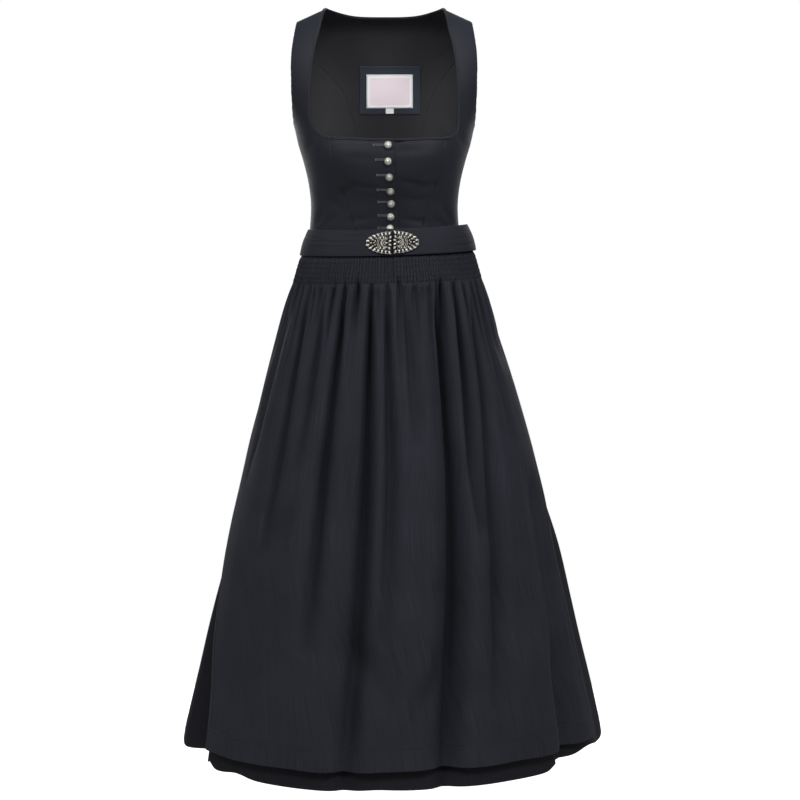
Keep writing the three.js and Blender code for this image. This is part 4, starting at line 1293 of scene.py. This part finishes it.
def gather_wave(share):
    """From 0 on each gather's crest to 1 in the hollow beside it."""
    return 0.5 - 0.5 * np.cos(2 * np.pi * gathers_each * share + 0.7 * wander(share * 1000, 210, 11))


def gather_depth(share, z, top):
    """Small gathers under the waist: waves across the cloth, narrow inwards and broad outwards,
    each a little deeper, longer and further along than the next."""
    wave = gather_wave(share) ** 1.5
    unevenness = 0.75 + 0.25 * np.sin(37 * share) * np.cos(61 * share)
    length = 220 + 90 * wander(share * 1000, 130, 5)
    fade = 1 - ease((top - z) / length)
    return 4.2 * wave * unevenness * ease((top - z) / 20) * fade


def fine_gathers(share, z, top):
    """Finer gathers on top of those, gone within a hand's width."""
    drift = 2.2 * wander(share * 1000, 70, 23)
    wave = np.sin(2 * np.pi * 2.6 * gathers_each * share + drift)
    length = 95 + 60 * wander(share * 1000, 45, 29)
    return 1.1 * wave * ease((top - z) / 16) * (1 - ease((top - z) / length))


def pinched(share, z, top):
    """The narrow pinch in the hollow of each gather. It starts at the gathering line, a little higher
    or lower each, and runs out within 60 to 170 mm."""
    start = 2 + 6 * wander(share * 1000, 37, 33)
    length = 115 + 75 * wander(share * 1000, 61, 29)
    deep = 4.2 + 2.4 * wander(share * 1000, 90, 35)
    return deep * gather_wave(share) ** 5 * ease((top - start - z) / 6) * (1 - ease((top - z) / length))


def slack(angle, z, seed):
    """Broad uneven softness of hanging cloth, a millimetre or two deep."""
    round_way = np.radians(angle) * 300
    upper = wander(round_way + 0.16 * z, 190, seed) * wander(z - 0.3 * round_way, 420, seed + 1)
    return 2.2 * upper * ease((-520 - z) / 200)


def drape_point(angle, z, move_in):
    """A point of the skirt's outline at an angle and height: a section that turns from full to
    elliptic on its way down, moved in along the ellipse's normal."""
    half = drape["half"](z)
    across, along = section_shares(angle, mix(fullness, 1, ease((waist_seam - z) / 240)))
    depth = np.where(along > 0, drape["front"](z), drape["back"](z))
    out_x, out_y = depth * np.sin(np.radians(angle)), -half * np.cos(np.radians(angle))
    size = np.hypot(out_x, out_y)
    return xyz(drape["drift"](z) + half * across - move_in * out_x / size,
               -depth * along - move_in * out_y / size, z)


def under_apron(angle, z):
    """How far the skirt lies inside the outline: behind the apron and just past its edges."""
    turn = np.where(angle > 180, angle - 360, angle)
    edge = np.where(turn > 0, apron_edge["left"](z), -apron_edge["right"](z))
    return apron_clearance * ease((edge + 19 - np.abs(turn)) / 10)


def hem_rise(angle):
    """How much higher a hem lies at an angle than it does in the middle of the front: a soft step up
    towards the wearer's left."""
    across = np.sin(np.radians(angle + 5))
    return hem_tilt * across / np.hypot(across, 0.2)


def skirt_hem_at(angle):
    """The height of the skirt's hem, with the solids' lift and the cloth's own curls."""
    lift = hem_lift * bump((angle - hem_lift_angle) / hem_lift_width)
    for at, wide, rise in zip(*hem_curls.values()):
        lift = lift + rise * bump(turn_from(angle, at) / wide)
    return skirt_hem + hem_rise(angle) + lift


def skirt_point(angle, share, z, fine):
    """A point of half of the skirt. The top is sewn to the bodice's lower edge."""
    top = waist_seam - seam_gap
    sewn = torso_point(angle, np.full_like(angle, waist_seam))
    move_in = (under_apron(angle, z) + fold_depth(angle, z) + creases(angle, z)
               + gather_depth(share, z, top) + slack(angle, z, 41)
               + fine * (fine_gathers(share, z, top) + pinched(share, z, top)))
    free = drape_point(angle, z, move_in)
    sewn[..., 2] = z
    return mix(sewn, free, ease((top - z) / 16)[..., None])


def skirt_half(name, start_angle, columns, rows):
    """Front or back of the skirt between the side seams, from the hem, which hangs lower in front
    and behind, up to the waist seam."""
    share, up = np.meshgrid(shares(columns, 0.0016), 1 - (1 - shares(rows, 0.0016)) ** 1.4)
    angle = start_angle + 180 * share
    hem = skirt_hem_at(angle)
    z = mix(hem, waist_seam - seam_gap, up)
    plain = skirt_point(angle, share, z, 0)
    face = skirt_point(angle, share, z, 1)
    gap = seam_gap / 2 * np.sign(start_angle)
    for grid in (plain, face):
        grid[:, [0, -1], 1] = gap
    fold = 0.35 * (1 - ease((z - hem - 38) / 3))
    normals = grid_normals(plain)
    uv = np.stack([share * skirt_cut, z / 1000], -1)
    # The hollow mark gives painted shade in the folds and pinches.
    made = cloth(name, face + normals * fold[..., None],
                 plain - normals * skirt_wall, skirt_wall, normals, uv, [skirt_finish],
                 "skirt_cloth", [name],
                 {"hollow": fold_shade_mark(angle, z, 3 * pinched(share, z, waist_seam))})


def band_top(angle):
    """The height of the band's upper edge, lower in front and higher at the wearer's left."""
    front = np.maximum(0, np.cos(np.radians(angle)))
    return band_top_back - band_dip_front * front + band_rise_left * np.sin(np.radians(angle))


def band_bottom(angle):
    return band_top(angle) - band_height


def smock_rib(angle, down):
    """The height of the smocking's ribs: rounded waves 1.94 degrees apart that wander sideways,
    differ in height, are drawn in at six rows of gathering stitches and crinkle between them. They
    lie flatter at the wearer's sides."""
    pitch = 2 * smock_side_angle / smock_ribs
    phase = 2 * np.pi * (angle + smock_side_angle) / pitch
    sway = 0.9 * wander(angle * 3 + down * 9, 31, 7) + 0.7 * wander(down * 49 + angle * 17, 13, 8)
    body = (0.5 - 0.5 * np.cos(phase + sway)) ** 0.75
    crinkle = 0.28 * np.sin(2 * phase + 5 * wander(down * 49 + angle * 5, 17, 9))
    rows = np.abs((down * 6 + 0.5) % 1 - 0.5) / 6 * (smock_height + smock_tuck)
    flat = 1 - 0.6 * ease((np.abs(angle) - 74) / 12)
    return flat * (body + crinkle) * (0.86 + 0.22 * wander(angle, 6, 12)) * (1 - 0.42 * bump(rows / 1.3))


def apron_point(share, z, top, fine):
    """A point of the apron: the drape's outline between its side edges, moved in by the folds and
    gathers. The smocking's ribs run on from the top and fade within 40 mm."""
    edge_z = np.where(z > -454, -454, z)
    angle = mix(apron_edge["right"](edge_z), apron_edge["left"](edge_z), share)
    ribs = smock_rib(mix(-smock_side_angle, smock_side_angle, share), np.zeros_like(z))
    fade = (1 - ease((top - z) / 40)) * smock_rib_height
    deep = (fold_depth(angle, z) * ease((top - z) / 20) + gather_depth(share, z, top)
            + creases(angle, z) + slack(angle, z, 41)
            + fade * (1 - rib_lift * ribs * fine)
            + fine * (fine_gathers(share, z, top) + pinched(share, z, top)))
    # Painted shade mark: the cloth is darker deep in the gathers and their pinches.
    gathered = 0.8 * gather_depth(share, z, top) + 2.2 * pinched(share, z, top)
    return drape_point(angle, z, deep), fold_shade_mark(angle, z, gathered)


def apron_grid(share, up):
    """Outer and inner points of the apron at shares across and up, with its hems' double cloth."""
    angle = mix(-smock_side_angle, smock_side_angle, share)
    top = band_bottom(angle) - smock_height - seam_gap
    hem = apron_hem + hem_rise(mix(-60, 71.5, share)) + wander(share * 1000, 260, 61)
    z = mix(hem, top, up)
    plain, hollow = apron_point(share, z, top, 0)
    face, _ = apron_point(share, z, top, 1)
    normals = grid_normals(plain)
    run = run_along(plain)
    side_way = np.minimum(run, run[:, -1:] - run)
    double = np.maximum(1 - ease((z - hem - hem_fold) / 2.5), 1 - ease((side_way - side_hem) / 1.5))
    return face + normals * (0.45 * double)[..., None], plain, normals, z, hollow


def apron():
    """The apron, from its hem up to the smocking."""
    share, up = np.meshgrid(shares(392, 0.0014), 1 - (1 - shares(98, 0.0016)) ** 1.4)
    face, plain, normals, z, hollow = apron_grid(share, up)
    uv = np.stack([share * apron_cut, z / 1000], -1)
    made = cloth("apron", face, plain - normals * apron_wall, apron_wall, normals, uv,
                 [apron_finish], "apron_cloth", ["apron"], {"hollow": hollow}, "top")


def apron_sewing():
    """The line of stitches that holds the hem, and those along the side hems."""
    share, up = np.meshgrid(np.linspace(0.012, 0.988, 640), (hem_fold - 1.5 + np.array([-2, 0, 2])) / 752)
    face, _, normals, _, _ = apron_grid(share, up)
    rows = [stitches(face[1], normals[1], 3.4, 2.4)]
    up, share = np.meshgrid(np.linspace(0.046, 0.99, 420), np.array([-0.002, 0, 0.002]))
    for at in (0.0104, 0.9896):
        face, _, normals, _, _ = apron_grid((share + at).T, up.T)
        rows.append(stitches(face[:, 1], normals[:, 1], 3.4, 2.4))
    return join(rows)


def smocking(name, start_angle, end_angle, columns):
    """Smocked cloth between two angles: ribs outside, plain inside."""
    share, up = np.meshgrid(shares(columns, 0.003), shares(30, 0.02))
    angle = mix(start_angle, end_angle, share)
    bottom = band_bottom(angle)
    z = mix(bottom - smock_height - seam_gap, bottom + smock_tuck, up)
    tucked = 2.8 * (1 - ease((bottom - z) / 14 + 0.3)) + smock_rib_height + creases(angle, z)
    plain = drape_point(angle, z, tucked)
    normals = grid_normals(plain)
    ribs = smock_rib(angle, up)
    face = drape_point(angle, z, tucked - rib_lift * smock_rib_height * ribs)
    # Painted shade mark: darker in the folds and between the smocking's ribs.
    hollow = np.clip(fold_shade_mark(angle, z) + 0.55 * (1 - ribs), 0, 1)
    uv = np.stack([share * apron_cut * (end_angle - start_angle) / 2 / smock_side_angle, z / 1000], -1)
    made = cloth(name, face, plain - normals * apron_wall, apron_wall, normals, uv, [apron_finish],
                 "apron_cloth", [name], {"hollow": hollow}, "bottom")


def skirt_seams():
    """The closed side seams of the skirt: near-black cores sunk into the wall from the waist down to the
    hem, painted shade of the seams' gaps.
    """
    made = []
    for hand in (-1, 1):
        angle = np.full(160, hand * 90.0)
        z = np.linspace(waist_seam - 2, skirt_hem_at(angle[0]) + 0.5, 160)
        path = skirt_point(angle, np.full(160, (1 + hand) / 2), z, 0)
        path[:, 1] = 0
        ahead = np.gradient(path, axis=0)
        normals = unit(xyz(-hand * ahead[:, 2], 0, hand * ahead[:, 0]))
        made.append(sweep(path - 0.7 * normals, normals, oval(0.65, 0.65, 6)))
    return join(made)


# Soft creases of the waistband: angles they run between, share of the height down at both ends,
# half width and depth. A depth below nothing is a ridge.
band_creases = table("start end from to wide deep", [
    [-80, -14, 0.42, 0.50, 1.6, 0.8],
    [-62, -20, 0.66, 0.60, 1.4, 0.6],
    [-96, -46, 0.24, 0.34, 1.8, 0.5],
    [-40, -12, 0.30, 0.26, 1.4, 0.4],
    [32, 74, 0.55, 0.46, 1.6, 0.5],
    [44, 92, 0.76, 0.70, 1.6, 0.5],
    [-150, -100, 0.40, 0.52, 1.8, 0.7],
    [-176, -128, 0.68, 0.60, 1.6, 0.5],
    [100, 150, 0.50, 0.38, 1.8, 0.6],
    [118, 174, 0.28, 0.66, 1.6, 0.5],
])


def band_point(angle, down):
    """The waistband: a full section that grows on its way down."""
    across, along = section_shares(angle)
    flare = down + 0.12 * np.sin(np.pi * down)
    depth = np.where(along > 0, mix(99.5, 110.5, flare), mix(93, 101, flare))
    return xyz(mix(5.5, 6, down) + mix(134.5, 149.5, flare) * across, -depth * along,
               band_top(angle) - band_height * down)


def band_angle(x):
    """The angle of a place across on the front of the band."""
    return np.degrees(np.arcsin((x - 6) / 142))


def waistband(name, start_angle, end_angle):
    """Half of the waistband: a strip of doubled cloth, a little padded, with its creases."""
    share, down = np.meshgrid(shares(200, 0.004), 1 - shares(28, 0.04))
    angle = mix(start_angle, end_angle, share)
    plain = band_point(angle, down)
    normals = grid_normals(plain)
    relief = 0.5 * np.sin(np.pi * down) + 0.3 * wander(angle * 2.6, 70, 31) * np.sin(np.pi * down)
    for first, last, start, end, wide, deep in zip(*band_creases.values()):
        along = (angle - first) / (last - first)
        reach = ease(along / 0.2) * ease((1 - along) / 0.2)
        line = mix(start, end, along) + 0.02 * wander(angle, 23, 17)
        relief = relief - deep * reach * bump((down - line) * band_height / wide)
    run = run_along(plain)
    uv = np.stack([plain[..., 2], run], -1) / 1000
    made = cloth(name, plain + normals * (relief - 0.2)[..., None], plain - normals * band_wall,
                 band_wall, normals, uv, [band_finish], "apron_cloth", [name])


skirt_half("skirt_front", -90, 300, 84)
skirt_half("skirt_back", 90, 372, 84)
apron()
put("skirt_seams", *skirt_seams(), [painted_gap_shade], "skirt_cloth", [])
put("apron_stitches", *apron_sewing(), [apron_thread], "apron_cloth", [])
slit_angle = band_angle(slit_x)
smocking("apron_smocking_right", -smock_side_angle, slit_angle - slit_half, 520)
smocking("apron_smocking_left", slit_angle + slit_half, smock_side_angle, 490)
waistband("waistband_right", -179.9, slit_angle - slit_half)
waistband("waistband_left", slit_angle + slit_half, 179.9)


# ---------------------------------------------------------------- clasp

clasp_half_width = 43.5
clasp_height = 39
clasp_slit = 0.5
clasp_wedge = 1.5             # how much wider the slit is at its lower end
clasp_middle = 0.53           # of the band's height down
hub_x = -10.5

# Bowed wires round the hub: radius, the degrees they run between, and width.
bows = table("radius first last wide", [
    [3.4, 90, 270, 0.8],
    [6.4, 70, 290, 0.9],
    [8.0, 62, 298, 0.6],
    [11.5, 128, 232, 0.7],
    [14.0, 140, 220, 0.6],
])

# Rows of drop beads along the rim of a half, which point to its hub: how many, between which shares
# of the rim's way from its upper end, how far in from it, length, width, height, and taper.
rim_beads = table("count first last inset long wide high taper", [
    [14, 0.025, 0.975, 3.3, 5.6, 3.4, 3.1, -0.3],
    [14, 0.025, 0.975, 0.7, 1.9, 1.9, 2.0, 0],
    [13, 0.06, 0.94, 6.8, 5.4, 0.7, 1.5, 0],
    [9, 0.17, 0.83, 8.6, 4.2, 2.1, 2.4, -0.3],
    [3, 0.44, 0.56, 14, 3.2, 2.0, 2.4, -0.2],
])

# Drop beads between the hub and the slit: place, turn in degrees, length, width and height.
hub_beads = table("x y turn long wide high", [
    [-2.9, 9.6, 62, 5.2, 3.6, 3.2],
    [-3.2, 3.3, 22, 5.2, 3.4, 3.2],
    [-3.3, -3.3, -22, 5.2, 3.4, 3.2],
    [-4.6, -9.2, -68, 5.2, 3.6, 3.2],
    [-10.5, 9.0, 90, 3.0, 2.2, 2.6],
    [-11.5, -9.0, -90, 3.0, 2.2, 2.6],
    [-9.6, 0, 0, 3.6, 3.0, 3.1],
    [-6.4, 0, 0, 1.7, 1.7, 2.2],
])


def clasp_rim(share):
    """The point of the clasp's rim at a share of its way, from its upper end at the slit round to its
    lower one: half an ellipse, in even steps."""
    turn = np.linspace(np.pi / 2, 3 * np.pi / 2, 400)
    long, high = clasp_half_width - 0.3, clasp_height / 2 - 0.3
    path = xyz(long * np.cos(turn) - clasp_slit, high * np.sin(turn), 0)
    run = np.insert(np.cumsum(np.linalg.norm(np.diff(path, axis=0), axis=-1)), 0, 0)
    return np.stack([np.interp(share * run[-1], run, path[:, k]) for k in range(3)], -1)


def clasp_half(name, hand):
    """Half of the clasp: an oxidised plate with a wire rim, rows of drop beads that point to its hub,
    bowed wires round that, and larger drops beside the slit."""
    hub = np.array([hub_x, 0, 0])
    share = np.linspace(0, 1, 160)
    wire = mix(hub, clasp_rim(share), 0.955 + 0.02 * np.cos(2 * np.pi * 13 * share)[:, None])
    up = np.linspace(-1, 1, 30)[1:-1, None]
    slit = np.where(up < 0, 1, 0) * clasp_wedge * np.abs(up)
    slit = np.concatenate([-clasp_slit - slit, up * (clasp_height / 2 - 0.9), 0 * up], axis=1)
    edge = np.concatenate([wire, slit])
    grown = np.array([0, 1, 1, 0])[:, None, None]
    plate = mix(hub, edge, grown) + np.array([0, 0, 0.9, 0.9])[:, None, None] * [0, 0, 1]
    out = np.array([0.0, 0.0, 1.0])
    shapes = [turned(plate), sweep(wire + 0.9 * out, np.broadcast_to(out, wire.shape), oval(0.7, 1.4, 8))]
    for radius, first, last, wide in zip(*bows.values()):
        turn = np.radians(np.linspace(first, last, 60))
        bow = hub + radius * xyz(np.cos(turn), np.sin(turn), 0) + 1.1 * out
        shapes.append(sweep(bow, np.broadcast_to(out, bow.shape), oval(wide, 1.5, 6)))
    for count, first, last, inset, long, wide, high, taper in zip(*rim_beads.values()):
        away = clasp_rim(np.linspace(first, last, int(count))) - hub
        far = np.linalg.norm(away, axis=-1, keepdims=True)
        centres = hub + away * (1 - inset / far) + 0.7 * out
        shapes.append(beads(centres, np.arctan2(away[:, 1], away[:, 0]), long, wide, high - 0.7, taper))
    for x, y, turn, long, wide, high in zip(*hub_beads.values()):
        centre = np.array([[x, y, 0.7]])
        shapes.append(beads(centre, np.radians([turn]), long, wide, high - 0.7, -0.2, 7, 14))
    points, faces = join(shapes)
    hollow = 1 - np.clip((points[:, 2] - 0.95) / 0.9, 0, 1)
    turned_round = np.array([-1, -1, 1]) if hand > 0 else np.ones(3)
    points = points * turned_round - np.array([hand * clasp_half_width / 2, 0, 0])
    angle = band_angle(slit_x + hand * clasp_half_width / 2)
    across = band_point(angle + 3, clasp_middle) - band_point(angle - 3, clasp_middle)
    up = band_point(angle, clasp_middle - 0.3) - band_point(angle, clasp_middle + 0.3)
    normal = unit(np.cross(across, up))
    place = band_point(angle, clasp_middle) + normal * (seam_gap + 0.2)
    put(name, set_on(points, place, normal), faces, [silver_finish], "silver", [name],
        marks={"hollow": hollow})


clasp_half("clasp_right", -1)
clasp_half("clasp_left", 1)
